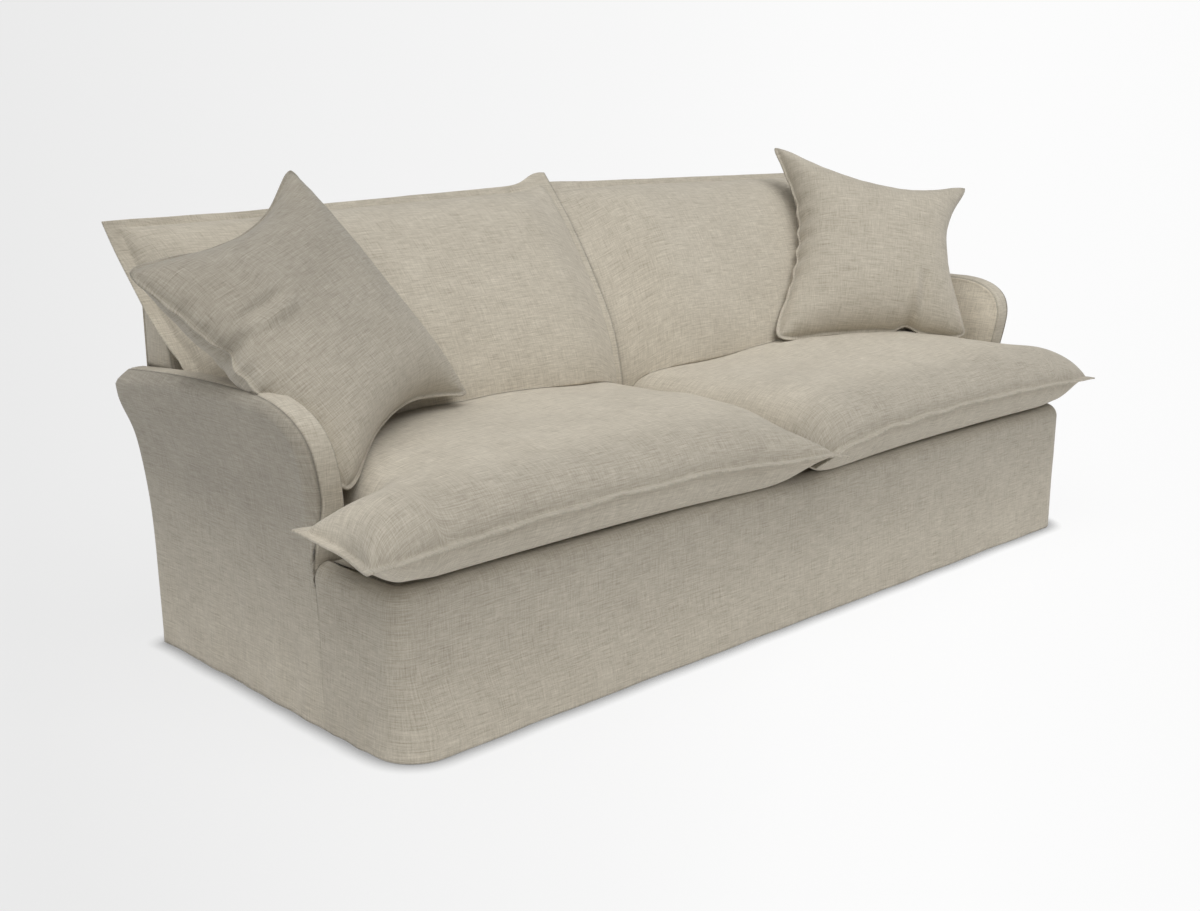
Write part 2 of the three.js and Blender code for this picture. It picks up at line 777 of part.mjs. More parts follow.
// Sinuous spring: a wire bent to and fro in U-bends, arched up between its two clips
function springWire() {
  const start = inside + boardThickness / 2;
  const end = rearSeatRailFront + boardThickness / 2;
  const pitch = (end - start) / springBends;
  const radius = pitch / 2;
  const seatZ = railTop + clipPlate / 2 + clipPlay + wireRadius;
  const arch = padUnderside - clearance - wireRadius - seatZ;
  const bendAngles = [-90, -30, 30, 90].map(THREE.MathUtils.degToRad);
  const points = [[-(springHalfWidth - radius), start]];
  for (let k = 0; k < springBends; k++) {
    const side = k % 2 ? -1 : 1;
    for (const angle of bendAngles) {
      const x = side * (springHalfWidth - radius + radius * Math.cos(angle));
      points.push([x, start + (k + 0.5) * pitch + radius * Math.sin(angle)]);
    }
  }
  const lastSide = springBends % 2 ? -1 : 1;
  points.push([lastSide * (springHalfWidth - radius), end]);
  return points.map(([x, y]) => {
    const t = (y - start) / (end - start);
    return new THREE.Vector3(x, y, seatZ + arch * Math.sin(Math.PI * t));
  });
}

function tube(path, radius) {
  const sideShares = [0.125, 0.375, 0.625, 0.875];
  const up = new THREE.Vector3(0, 0, 1);
  const rings = path.map((p, k) => {
    const before = path[Math.max(k - 1, 0)];
    const after = path[Math.min(k + 1, path.length - 1)];
    const along = after.clone().sub(before).normalize();
    const across = along.clone().cross(up).normalize();
    const over = across.clone().cross(along);
    return sideShares.map((share) => {
      const angle = share * 2 * Math.PI;
      return p.clone()
        .addScaledVector(across, radius * Math.cos(angle))
        .addScaledVector(over, radius * Math.sin(angle));
    });
  });
  const count = sideShares.length;
  const triangles = [];
  for (let k = 0; k < rings.length - 1; k++) {
    for (let i = 0; i < count; i++) {
      const a = k * count + i;
      const b = k * count + (i + 1) % count;
      triangles.push([a, b, b + count], [a, b + count, a + count]);
    }
  }
  const last = (rings.length - 1) * count;
  triangles.push([0, 2, 1], [0, 3, 2], [last, last + 1, last + 2], [last, last + 2, last + 3]);
  return closedMesh(rings.flat(), triangles);
}

// A clip folds over the end of each spring, and is sunk in the rail by its own plate
function springClips(facing) {
  const path = springWire();
  const bore = wireRadius + clipPlay;
  const nose = bore + clipPlate;
  const tail = nose + 4 * wireRadius;
  const rise = 2 * nose;
  const outline = outlineOf([
    [-tail, 0],
    [nose, 0],
    [nose, rise],
    [-nose, rise],
    [-nose, rise - clipPlate],
    [bore, rise - clipPlate],
    [bore, clipPlate],
    [-tail, clipPlate],
  ]);
  const y = facing > 0 ? path[0].y : path.at(-1).y;
  return springPlaces().map((x) => board(outline, clipWidth, (g) => {
    g.translate(0, 0, -clipWidth / 2).rotateX(Math.PI / 2).rotateZ(-facing * Math.PI / 2);
    g.translate(x, y, railTop - clipPlate / 2);
  }));
}

function springPlaces() {
  const first = baseHalf - springMargin;
  return Array.from({ length: springCount }, (_, k) => lerp(-first, first, k / (springCount - 1)));
}

function springs() {
  const path = springWire();
  springPlaces().forEach((x, k) => {
    const wire = path.map((p) => p.clone().setX(p.x + x));
    add(`seat_spring_${k + 1}`, tube(wire, wireRadius), springSteel);
  });
}

// The T-shaped plan of a seat cushion: how far a point lies inside its nearest edge
function seatEdge(x, y, shape) {
  const across = Math.abs(x);
  const notchX = shape.body - across;
  const notchY = shape.notch - y;
  let notch = Infinity;
  if (notchX > 0 && notchY > 0) notch = Math.hypot(notchX, notchY);
  else if (notchX > 0) notch = notchX;
  else notch = Math.max(notchY, 0);
  const rim = Math.min(across - centreGap, shape.ear - across, y - shape.front);
  return { rim: Math.max(Math.min(rim, notch), 0), rear: Math.max(shape.rear - y, 0) };
}

// A crown that starts steeply at the seam and levels out at its reach
function crown(distance, reach) {
  const s = Math.min(Math.max(distance, 0) / reach, 1);
  return Math.pow(1 - Math.pow(1 - s, 2.4), 0.75);
}

const seatShape = {
  front: seatFront,
  rear: seatDepth + (deckHeight / 8) * rakeSlope,
  ear: earReach,
  body: deckHalf - clearance * 6,
  notch: seatFront + earDepth,
};

function seatTop(x, y) {
  const reach = 170;
  const rearReach = 250;
  const { rim, rear } = seatEdge(x, y, seatShape);
  const lift = crown(rim - flange, reach) * crown(rear - flange, rearReach);
  return seatSeamHeight + flangeThickness / 2 + (seatCrown - seatSeamHeight) * lift;
}

function seatBottom(x, y) {
  const reach = 70;
  const { rim, rear } = seatEdge(x, y, seatShape);
  const fall = crown(Math.min(rim, rear) - flange, reach);
  return lerp(seatSeamHeight - flangeThickness / 2, deckTop, fall);
}

function seatCushion([, side]) {
  const columnShares = [0, 0.02, 0.045, 0.09, 0.16, 0.26, 0.38, 0.5, 0.62, 0.74, 0.84, 0.91, 0.955, 0.98, 1];
  const frontRowShares = [0, 0.095, 0.2, 0.38, 0.6, 0.82, 1];
  const rearRowShares = [0.04, 0.14, 0.28, 0.44, 0.6, 0.74, 0.85, 0.92, 0.96, 1];
  const { front, rear, notch, ear, body } = seatShape;
  const rows = [
    ...frontRowShares.map((s) => lerp(front, notch, s)),
    ...rearRowShares.map((s) => lerp(notch, rear, s)),
  ];
  const place = (height) => rows.map((y) => columnShares.map((share) => {
    const outer = y <= notch ? ear : body;
    const x = lerp(centreGap, outer, share);
    const middle = 4 * share * (1 - share);
    const cornerFade = (1 - middle) * (1 - smooth(y, front, notch + earDepth));
    const atEar = y <= notch ? smooth(share, 0.8, 1) : 0;
    const earMiddle = 1 - Math.abs(2 * (y - front) / (notch - front) - 1);
    const frontPull = seatDrawIn * middle * (1 - smooth(y, front, lerp(front, rear, 0.3)));
    const sidePull = seatDrawIn * atEar * earMiddle;
    const z = height(x, y);
    const droop = seatSeamDroop * cornerFade * (z > seatSeamHeight - flangeThickness ? 1 : 0);
    return new THREE.Vector3(side * (x - sidePull), y + frontPull, z - droop);
  }));
  return between(place(seatTop), place(seatBottom));
}

// Back cushion: a knife-edge square that leans on the back and curls over its top
function backCushion([, side]) {
  const acrossShares = [0, 0.024, 0.055, 0.11, 0.2, 0.33, 0.5, 0.67, 0.8, 0.89, 0.945, 0.976, 1];
  const upShares = [0, 0.05, 0.11, 0.2, 0.32, 0.46, 0.6, 0.73, 0.84, 0.91, 0.955, 1];
  const sweepCurve = 1.53;
  const reach = 210;
  const length = backCushionTop - backCushionFoot;
  const place = (depth, face) => upShares.map((t) => acrossShares.map((share) => {
    const peak = backCushionPeak * t * (1 - share);
    const z = backCushionFoot + length * t + peak;
    const wing = backCushionWing * Math.pow(Math.max((z - armCrest) / (backCushionTop - armCrest), 0), 1.5);
    const inner = Math.min(halfAt(Math.min(z, armHeight)) - armWidth, backHalf + armWidth / 2);
    const outer = inner - clearance * 4 + wing;
    const x = lerp(centreGap, outer, share);
    const wrap = backCushionWrap * smooth(share, 0.72, 1) * smooth(t, 0, 0.45) * (1 - smooth(t, 0.6, 1));
    const mid = backCushionSetback + backCushionSweep * Math.pow(t, sweepCurve) + wrap;
    const rim = Math.min((x - centreGap), outer - x, t * length, (1 - t) * length);
    const swell = flangeThickness / 2 + depth * crown(rim - flange, reach);
    const lean = Math.atan2(backCushionSweep * sweepCurve * Math.pow(t, sweepCurve - 1), length);
    const y = Math.min(mid + face * swell * Math.cos(lean), rearLine);
    return new THREE.Vector3(side * x, y, z - face * swell * Math.sin(lean));
  }));
  return between(place(backCushionFront, -1), place(backCushionRear, 1));
}

// Throw pillow: a square with drawn-in sides and pointed corners
function pillow(pose) {
  const edgeShares = [0, 0.04, 0.1, 0.2, 0.34, 0.5, 0.66, 0.8, 0.9, 0.96, 1];
  const half = pose.side / 2;
  const place = (face) => grid(edgeShares, edgeShares, (u, v) => {
    const a = 2 * u - 1;
    const b = 2 * v - 1;
    const x = half * a - pillowDrawIn * a * (1 - b * b);
    const y = half * b - pillowDrawIn * b * (1 - a * a);
    const rim = half * Math.min(1 - Math.abs(a), 1 - Math.abs(b));
    const swell = flangeThickness / 2 + pillowThickness / 2 * crown(rim - flange, half);
    return new THREE.Vector3(x, y, face * swell);
  });
  const [sideShare, depthShare, heightShare] = pose.placeShares;
  const centre = [baseHalf * sideShare, seatDepth * depthShare, seatCrown * heightShare];
  const across = new THREE.Vector3(...pose.across).normalize();
  const up = new THREE.Vector3(...pose.up);
  up.addScaledVector(across, -up.dot(across)).normalize();
  const basis = new THREE.Matrix4().makeBasis(across, up, across.clone().cross(up));
  return between(place(1), place(-1)).applyMatrix4(basis).translate(...centre);
}

function looseCushions() {
  const upGap = [0, 0, clearance];
  const seats = sides.map(seatCushion);
  const back = [backBody(), [0, -clearance, 0]];
  const backs = sides.map((s, k) => cutBy(backCushion(s), [[seats[k], upGap], back]));
  sides.forEach(([name], k) => {
    add(`seat_cushion_${name}`, seats[k], linen);
    add(`back_cushion_${name}`, backs[k], linen);
  });
  const poses = [
    {
      side: leftPillowSide,
      placeShares: [-0.849, 0.697, 1.374],
      across: [0.858, 0.476, 0.191],
      up: [-0.438, 0.485, 0.756],
    },
    {
      side: rightPillowSide,
      placeShares: [0.771, 0.683, 1.391],
      across: [0.786, -0.608, -0.114],
      up: [0.398, 0.354, 0.846],
    },
  ];
  sides.forEach(([name, side], k) => {
    const arm = between(innerArmGrid(side), outerArmGrid(side));
    const neighbours = [
      [backs[k], [0, -clearance, 0]],
      [seats[k], upGap],
      [arm, [0, 0, clearance]],
      [arm, [-side * clearance, 0, 0]],
    ];
    add(`throw_pillow_${name}`, cutBy(pillow(poses[k]), neighbours), linen);
  });
}

base();
feet();
sides.forEach(armFrame);
backFrame();
springs();
backWebbing();
deck();
sides.forEach(armPads);
frontBorder();
sides.forEach(armCovers);
backCovers();
looseCushions();

// The row's origin is the middle of the floor under the whole sofa
const reach = new THREE.Box3().setFromObject(sofa);
sofa.position.set(-(reach.min.x + reach.max.x) / 2, -(reach.min.y + reach.max.y) / 2, 0);
sofa.updateMatrixWorld(true);

export default sofa;
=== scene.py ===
import math

import bpy
import numpy as np
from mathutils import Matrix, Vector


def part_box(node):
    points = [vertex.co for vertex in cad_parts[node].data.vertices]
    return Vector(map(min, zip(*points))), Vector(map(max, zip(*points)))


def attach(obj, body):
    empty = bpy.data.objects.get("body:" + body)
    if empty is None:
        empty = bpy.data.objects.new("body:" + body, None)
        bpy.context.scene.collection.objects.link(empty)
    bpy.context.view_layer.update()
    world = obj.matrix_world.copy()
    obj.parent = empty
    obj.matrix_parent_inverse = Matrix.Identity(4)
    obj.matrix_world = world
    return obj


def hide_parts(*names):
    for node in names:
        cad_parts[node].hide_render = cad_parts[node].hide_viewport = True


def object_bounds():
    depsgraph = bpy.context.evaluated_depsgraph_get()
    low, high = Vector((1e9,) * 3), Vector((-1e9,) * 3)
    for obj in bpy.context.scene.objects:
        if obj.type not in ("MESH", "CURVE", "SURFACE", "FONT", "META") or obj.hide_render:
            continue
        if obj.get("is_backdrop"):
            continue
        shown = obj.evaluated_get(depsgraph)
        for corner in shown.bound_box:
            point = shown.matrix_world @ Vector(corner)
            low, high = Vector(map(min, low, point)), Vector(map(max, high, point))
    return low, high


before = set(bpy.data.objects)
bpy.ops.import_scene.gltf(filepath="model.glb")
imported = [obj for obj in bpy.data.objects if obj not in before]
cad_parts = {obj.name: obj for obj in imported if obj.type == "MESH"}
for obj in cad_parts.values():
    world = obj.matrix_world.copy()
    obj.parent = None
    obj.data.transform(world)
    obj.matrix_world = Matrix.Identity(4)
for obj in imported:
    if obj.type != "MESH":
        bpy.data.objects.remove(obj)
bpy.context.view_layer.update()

# Camera, floor and light
# A plain pale studio: the camera stands at the sofa's left front corner, a little above
# arm height, under a bright even ceiling with four broad soft lamps.
border_low, border_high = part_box("front_border")
SOFA_CENTRE = np.array([(border_low.x + border_high.x) / 2, border_low.y, 0.0])
CAMERA_PLACE = SOFA_CENTRE + [-2.477, -1.983, 1.186]
CAMERA_PITCH, CAMERA_YAW = math.radians(14.41), math.radians(43.45)
CAMERA_LENS, CAMERA_SENSOR = 45.0, 36.0

camera_data = bpy.data.cameras.new("camera")
camera_data.sensor_width = CAMERA_SENSOR
camera_data.lens = CAMERA_LENS
camera = bpy.data.objects.new("camera", camera_data)
camera.location = CAMERA_PLACE
camera.rotation_euler = (math.pi / 2 - CAMERA_PITCH, 0, -CAMERA_YAW)
bpy.context.scene.collection.objects.link(camera)
bpy.context.scene.camera = camera
bpy.context.scene.view_settings.view_transform = "Standard"


def linear(hex_colour):
    """Linear RGBA of an sRGB hex colour: each channel over 255, then the sRGB curve undone."""
    channels = [int(hex_colour[k:k + 2], 16) / 255 for k in (1, 3, 5)]
    curve = [c / 12.92 if c <= 0.04045 else ((c + 0.055) / 1.055) ** 2.4 for c in channels]
    return (*curve, 1.0)


def add_node(tree, kind, links=None, **settings):
    """A shader node of one kind. settings are its properties or its inputs' values, by
    their names with spaces as underscores; links join an input to another node's output."""
    made = tree.nodes.new(kind)
    inputs = {socket.name.replace(" ", "_"): socket for socket in reversed(list(made.inputs))}
    for name, value in settings.items():
        if name in inputs:
            inputs[name].default_value = value
        else:
            setattr(made, name, value)
    for place, source in (links or {}).items():
        socket = made.inputs[place] if isinstance(place, int) else inputs[place.replace(" ", "_")]
        tree.links.new(source, socket)
    return made


def new_material(name):
    material = bpy.data.materials.new(name)
    material.use_nodes = True
    material.node_tree.nodes.clear()
    return material, material.node_tree


# The paper's brightness across the picture: (angle from the view's middle in degrees, grey)
PAPER_LEVELS = [(-40, 0.80), (-22, 0.825), (-10, 0.885), (0, 0.925), (8, 0.965), (15, 0.975),
                (40, 0.95)]


def paper_level(tree, sideways, forwards):
    """The paper's brightness for a heading from the camera's place: a ramp over the angle
    between that heading, given by its two horizontal lengths, and the middle of the view."""
    angle = add_node(tree, "ShaderNodeMath", {0: sideways, 1: forwards}, operation="ARCTAN2")
    first, last = (CAMERA_YAW + math.radians(PAPER_LEVELS[k][0]) for k in (0, -1))
    share = add_node(tree, "ShaderNodeMapRange", {"Value": angle.outputs[0]},
                     From_Min=first, From_Max=last)
    ramp = add_node(tree, "ShaderNodeValToRGB", {"Fac": share.outputs[0]})
    span = PAPER_LEVELS[-1][0] - PAPER_LEVELS[0][0]
    stops = ramp.color_ramp.elements
    for k, (degrees, grey) in enumerate(PAPER_LEVELS):
        position = (degrees - PAPER_LEVELS[0][0]) / span
        stop = stops[0] if k == 0 else stops[-1] if k == len(PAPER_LEVELS) - 1 else stops.new(position)
        stop.position, stop.color = position, (grey, grey, grey, 1)
    return ramp.outputs[0]


def seen_directly(tree):
    """1 for rays from the camera or off a shiny face, and 0 for light on its way elsewhere."""
    path = add_node(tree, "ShaderNodeLightPath")
    return add_node(tree, "ShaderNodeMath", {0: path.outputs["Is Camera Ray"],
                                             1: path.outputs["Is Glossy Ray"]},
                    operation="MAXIMUM").outputs[0]


# Broad soft lamps, far off: the way each one lies, the width it takes up and its strength
CEILING_LIGHT = 0.20
LAMP_DISTANCE = 3.0
LAMPS = {
    "ceiling_lamp": ([0.0, 0.0, 1.0], 60.0, 0.25),
    "front_lamp": ([0.0, -0.55, 0.83], 50.0, 1.46),
    "left_lamp": ([-0.55, -0.10, 0.83], 50.0, 0.98),
    "low_lamp": ([-0.15, -0.90, 0.40], 60.0, 0.06),
}
floor_light = CEILING_LIGHT
for name, (lies, width, strength) in LAMPS.items():
    lamp_data = bpy.data.lights.new(name, "SUN")
    lamp_data.angle, lamp_data.energy = math.radians(width), strength
    lamp = bpy.data.objects.new(name, lamp_data)
    lamp.rotation_euler = Vector(lies).to_track_quat("Z", "Y").to_euler()
    lamp.location = SOFA_CENTRE + np.array(lies) * LAMP_DISTANCE
    bpy.context.scene.collection.objects.link(lamp)
    floor_light += strength / math.pi * lies[2] / float(np.linalg.norm(lies))

# Seamless paper: pale and matt in the room's light. The camera sees it under a veil of even
# brightness, so that only soft shadows stand on it and it has no far edge. Near the sofa the veil is
# dimmed by ambient occlusion: a painted contact shadow.
FLOOR_RADIUS, FLOOR_SIDES = 400.0, 96
FLOOR_GREY, FLOOR_SEEN = 0.85, 0.10
# How far the painted contact shadow reaches, the occlusion at which it is darkest, and its darkest
# level
PAINTED_SHADOW_REACH, PAINTED_SHADOW_OPEN, PAINTED_SHADOW_LEVEL = 0.040, 0.45, 0.25
FLOOR_LIT = FLOOR_SEEN * floor_light
floor_mesh = bpy.data.meshes.new("studio_floor")
rim = np.linspace(0, math.tau, FLOOR_SIDES, endpoint=False)
rim_points = np.stack([np.cos(rim), np.sin(rim), np.zeros_like(rim)], 1) * FLOOR_RADIUS
floor_mesh.from_pydata(rim_points.tolist(), [], [list(range(len(rim)))])
studio_floor = bpy.data.objects.new("studio_floor", floor_mesh)
bpy.context.scene.collection.objects.link(studio_floor)
paper, tree = new_material("studio_paper")
place = add_node(tree, "ShaderNodeTexCoord")
axes = add_node(tree, "ShaderNodeSeparateXYZ", {0: place.outputs["Object"]})
heading = []
for k, axis in enumerate("XY"):
    away = add_node(tree, "ShaderNodeMath", {0: axes.outputs[axis]}, operation="SUBTRACT")
    away.inputs[1].default_value = float(CAMERA_PLACE[k])
    heading.append(away.outputs[0])
level = paper_level(tree, *heading)
bounce, matt = (add_node(tree, "ShaderNodeBsdfDiffuse", Color=(grey, grey, grey, 1))
                for grey in (FLOOR_GREY, FLOOR_SEEN))
less = add_node(tree, "ShaderNodeVectorMath", {0: level}, operation="SUBTRACT")
less.inputs[1].default_value = (FLOOR_LIT, FLOOR_LIT, FLOOR_LIT)
# Painted contact shadow: ambient occlusion within 40 mm of the sofa dims the veil, down to a quarter
# of its brightness where little is open around.
painted_shadow_occlusion = add_node(tree, "ShaderNodeAmbientOcclusion", Distance=PAINTED_SHADOW_REACH, samples=8)
shade = add_node(tree, "ShaderNodeMapRange", {"Value": painted_shadow_occlusion.outputs["AO"]},
                 From_Min=PAINTED_SHADOW_OPEN, From_Max=1.0, To_Min=PAINTED_SHADOW_LEVEL, To_Max=1.0)
veil = add_node(tree, "ShaderNodeEmission", {"Color": less.outputs[0], "Strength": shade.outputs[0]})
both = add_node(tree, "ShaderNodeAddShader", {0: matt.outputs[0], 1: veil.outputs[0]})
either = add_node(tree, "ShaderNodeMixShader", {0: seen_directly(tree), 1: bounce.outputs[0],
                                                2: both.outputs[0]})
add_node(tree, "ShaderNodeOutputMaterial", {"Surface": either.outputs[0]})
floor_mesh.materials.append(paper)
studio_floor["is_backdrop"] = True

world = bpy.data.worlds.new("studio_air")
bpy.context.scene.world = world
world.use_nodes = True
tree = world.node_tree
tree.nodes.clear()
lit = add_node(tree, "ShaderNodeBackground", Color=(1.0, 1.0, 1.0, 1), Strength=CEILING_LIGHT)
heading = add_node(tree, "ShaderNodeTexCoord")
axes = add_node(tree, "ShaderNodeSeparateXYZ", {0: heading.outputs["Generated"]})
level = paper_level(tree, axes.outputs["X"], axes.outputs["Y"])
shown = add_node(tree, "ShaderNodeBackground", {"Color": level}, Strength=1.0)
either = add_node(tree, "ShaderNodeMixShader", {0: seen_directly(tree), 1: lit.outputs[0],
                                                2: shown.outputs[0]})
add_node(tree, "ShaderNodeOutputWorld", {"Surface": either.outputs[0]})

# Hardwood frame
# Kiln-dried boards, planed, glued and screwed at the corner blocks. They are the CAD nodes
# themselves; only their finish is set here. Planing leaves a satin face, with the grain as
# streaks about 17 mm wide and 110 mm long and finer ones in them.
GRAIN = {"Scale": 1.5, "Detail": 5.0}
GRAIN_STRETCH = (6.0, 40.0, 40.0)


def plain_finish(name, shade, tones, ends=(0.0, 1.0), stretch=(1.0, 1.0, 1.0), relief=None,
                 rough=None, **look):
    """A material on Object coordinates, stretched three ways. shade, a pattern node's kind
    and settings, runs from one tone to the other between its ends. relief is a strength, a
    depth in metres and, where it isn't shade, a pattern of its own; rough is the roughness
    at shade's low and high values, and look the surface's other settings."""
    material, tree = new_material(name)
    where = add_node(tree, "ShaderNodeTexCoord").outputs["Object"]
    at = add_node(tree, "ShaderNodeMapping", {"Vector": where}, Scale=stretch).outputs[0]
    drawn = add_node(tree, shade[0], {"Vector": at}, **shade[1]).outputs["Fac"]
    ramp = add_node(tree, "ShaderNodeValToRGB", {"Fac": drawn})
    for stop, tone, position in zip(ramp.color_ramp.elements, tones, ends):
        stop.position, stop.color = position, linear(tone)
    links = {"Base Color": ramp.outputs[0]}
    if rough:
        spread = add_node(tree, "ShaderNodeMapRange", {"Value": drawn}, From_Min=0.3,
                          From_Max=0.7, To_Min=rough[0], To_Max=rough[1])
        links["Roughness"] = spread.outputs[0]
    if relief:
        strength, depth, *own = relief
        if own:
            drawn = add_node(tree, own[0], {"Vector": at}, **own[1]).outputs["Distance"]
        bumps = add_node(tree, "ShaderNodeBump", {"Height": drawn}, Strength=strength,
                         Distance=depth)
        links["Normal"] = bumps.outputs[0]
    surface = add_node(tree, "ShaderNodeBsdfPrincipled", links, **look)
    add_node(tree, "ShaderNodeOutputMaterial", {"Surface": surface.outputs[0]})
    return material


wood = plain_finish("planed_hardwood", ("ShaderNodeTexNoise", GRAIN), ("#a57f52", "#cba877"),
                    stretch=GRAIN_STRETCH, relief=(0.2, 0.0005), Roughness=0.6)
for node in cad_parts.values():
    node.material_slots[0].material = wood

# Seat springs
# Ten sinuous wires of drawn spring steel: a dull grey metal, uneven in its shine over
# lengths of about 7 mm, where the die and the bending left it. The CAD nodes show as they are.
DIE_MARKS = {"Scale": 140.0, "Detail": 3.0}
spring_wire = plain_finish("drawn_spring_steel", ("ShaderNodeTexNoise", DIE_MARKS),
                           ("#6d6f73", "#a2a4a8"), rough=(0.28, 0.5), Metallic=1.0)
for name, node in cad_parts.items():
    if name.startswith("seat_spring"):
        node.material_slots[0].material = spring_wire

# Back webbing
# Crossed straps of woven jute, tacked to the back frame: coarse and brown, with a slanting
# weave of dark and light yarn that repeats every 7 mm along the straps.
WEAVE = {"Scale": 90.0, "Distortion": 1.5, "bands_direction": "DIAGONAL"}
strapping = plain_finish("woven_jute_webbing", ("ShaderNodeTexWave", WEAVE),
                         ("#5f5139", "#8f7d5d"), relief=(0.4, 0.0008), Roughness=0.9)
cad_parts["back_webbing"].material_slots[0].material = strapping

# Front border
# One linen panel of the slipcover, from the floor to the deck. It wraps both front
# corners as far as a sewn seam on each side, and rolls over the padded front rail.
BASE_HALF = 1.080
BASE_DEPTH = 0.85
DECK_HEIGHT = 0.325
HEM_HEIGHT = 0.0015
CORNER_RADIUS, HEM_RADIUS = 0.045, 0.080
EDGE_ROLL = 0.030
SIDE_SEAM = 0.2287
ARM_HEIGHT = 0.598
ARM_FLARE = 0.063
CLOTH = 0.0022
HEM_OUT, HEM_OUT_RISE = 0.013, 0.18
CORNER_OUT = 0.018
BORDER_COLUMNS, BORDER_ROWS = 421, 78
HEM_FOLD = 0.024
SEAM_STANDS = 0.0022
LINEN_HEX = "#bcb4a4"


def smoothstep(value, start, end):
    """0 before start, 1 after end, and the S-curve 3s^2 - 2s^3 of the share between them."""
    share = np.clip((value - start) / (end - start), 0, 1)
    return share * share * (3 - 2 * share)


def mix(a, b, share):
    """a plus share times the way from a to b."""
    return a + (b - a) * share


def half_width(height):
    """Half the covered body's width: the base's half, plus a flare that grows as the
    height over the arm height to the power 3.2."""
    return BASE_HALF + ARM_FLARE * (np.maximum(height, 0) / ARM_HEIGHT) ** 3.2


def slack(a, b, length, seed, count=9):
    """Gentle unevenness of cloth, about -1 to 1: a sum of cosine waves over the cloth
    coordinates a and b, each with its own heading, phase and a length near the given one."""
    draw = np.random.default_rng(seed)
    total = np.zeros(np.broadcast(a, b).shape)
    for _ in range(count):
        heading, phase = draw.uniform(0, math.tau, 2)
        wave = length * draw.uniform(0.7, 1.5)
        along = a * math.cos(heading) + b * math.sin(heading)
        total += np.cos(math.tau * along / wave + phase)
    return total / math.sqrt(2 * count)


def ridge(distance, centre, width):
    """A bell of height 1 at the centre that has fallen to 1/e one width away."""
    return np.exp(-((distance - centre) / width) ** 2)


def normals_of(points, facing):
    """Unit normals of a grid of points: the cross product of its two differences, turned
    to the side that the facing vectors point to."""
    down, across = np.gradient(points, axis=0), np.gradient(points, axis=1)
    normal = np.cross(down, across)
    normal /= np.maximum(np.linalg.norm(normal, axis=-1, keepdims=True), 1e-12)
    side = np.sign((normal * facing).sum(-1, keepdims=True))
    return normal * np.where(side == 0, 1, side)


def make_object(name, vertices, faces, cloth_u, cloth_v, painted_shade):
    """An object at the origin from arrays of vertices in the sofa's own metres and of faces, with the
    cloth's own coordinates in metres as the UV map, and with painted shade for seams, folds and
    recesses, from 0 to 1, as a vertex attribute that darkens the linen."""
    mesh = bpy.data.meshes.new(name)
    mesh.vertices.add(len(vertices))
    mesh.vertices.foreach_set("co", (vertices + SOFA_CENTRE).astype(np.float32).ravel())
    sides = faces.shape[1]
    mesh.loops.add(faces.size)
    mesh.loops.foreach_set("vertex_index", faces.astype(np.int32).ravel())
    mesh.polygons.add(len(faces))
    mesh.polygons.foreach_set("loop_start", np.arange(0, faces.size, sides, dtype=np.int32))
    mesh.update(calc_edges=True)
    mesh.validate()
    layer = mesh.uv_layers.new(name="cloth")
    pairs = np.stack([cloth_u.ravel(), cloth_v.ravel()], 1)[faces.ravel()]
    layer.data.foreach_set("uv", pairs.astype(np.float32).ravel())
    depth = mesh.attributes.new("painted_shade", "FLOAT", "POINT")
    depth.data.foreach_set("value", np.clip(painted_shade, 0, 1).astype(np.float32).ravel())
    mesh.shade_smooth()
    made = bpy.data.objects.new(name, mesh)
    bpy.context.scene.collection.objects.link(made)
    return made


def grid_faces(rows, columns, keep=None):
    """Quads between the neighbours of a grid of rows and columns; keep marks which stay."""
    index = np.arange(rows * columns).reshape(rows, columns)
    quads = np.stack([index[:-1, :-1], index[:-1, 1:], index[1:, 1:], index[1:, :-1]], -1)
    return quads[keep] if keep is not None else quads.reshape(-1, 4)


def hang_cloth(name, points, facing, cloth_u, cloth_v, painted_shade, keep=None):
    """A panel of cloth through a grid of points: quads wound towards the facing vectors,
    then given the cloth's thickness on the side away from them."""
    rows, columns = points.shape[:2]
    faces = grid_faces(rows, columns, keep)
    flat = points.reshape(-1, 3)
    towards = np.broadcast_to(facing, points.shape).reshape(-1, 3)
    corner = flat[faces]
    turn = np.cross(corner[:, 1] - corner[:, 0], corner[:, 3] - corner[:, 0])
    if (turn * towards[faces[:, 0]]).sum() < 0:
        faces = faces[:, ::-1]
    used, back = np.unique(faces, return_inverse=True)
    faces = back.reshape(faces.shape)
    made = make_object(name, flat[used], faces, cloth_u.ravel()[used], cloth_v.ravel()[used],
                       painted_shade.ravel()[used])
    wall = made.modifiers.new("thickness", "SOLIDIFY")
    wall.thickness, wall.offset = CLOTH, -1
    return made


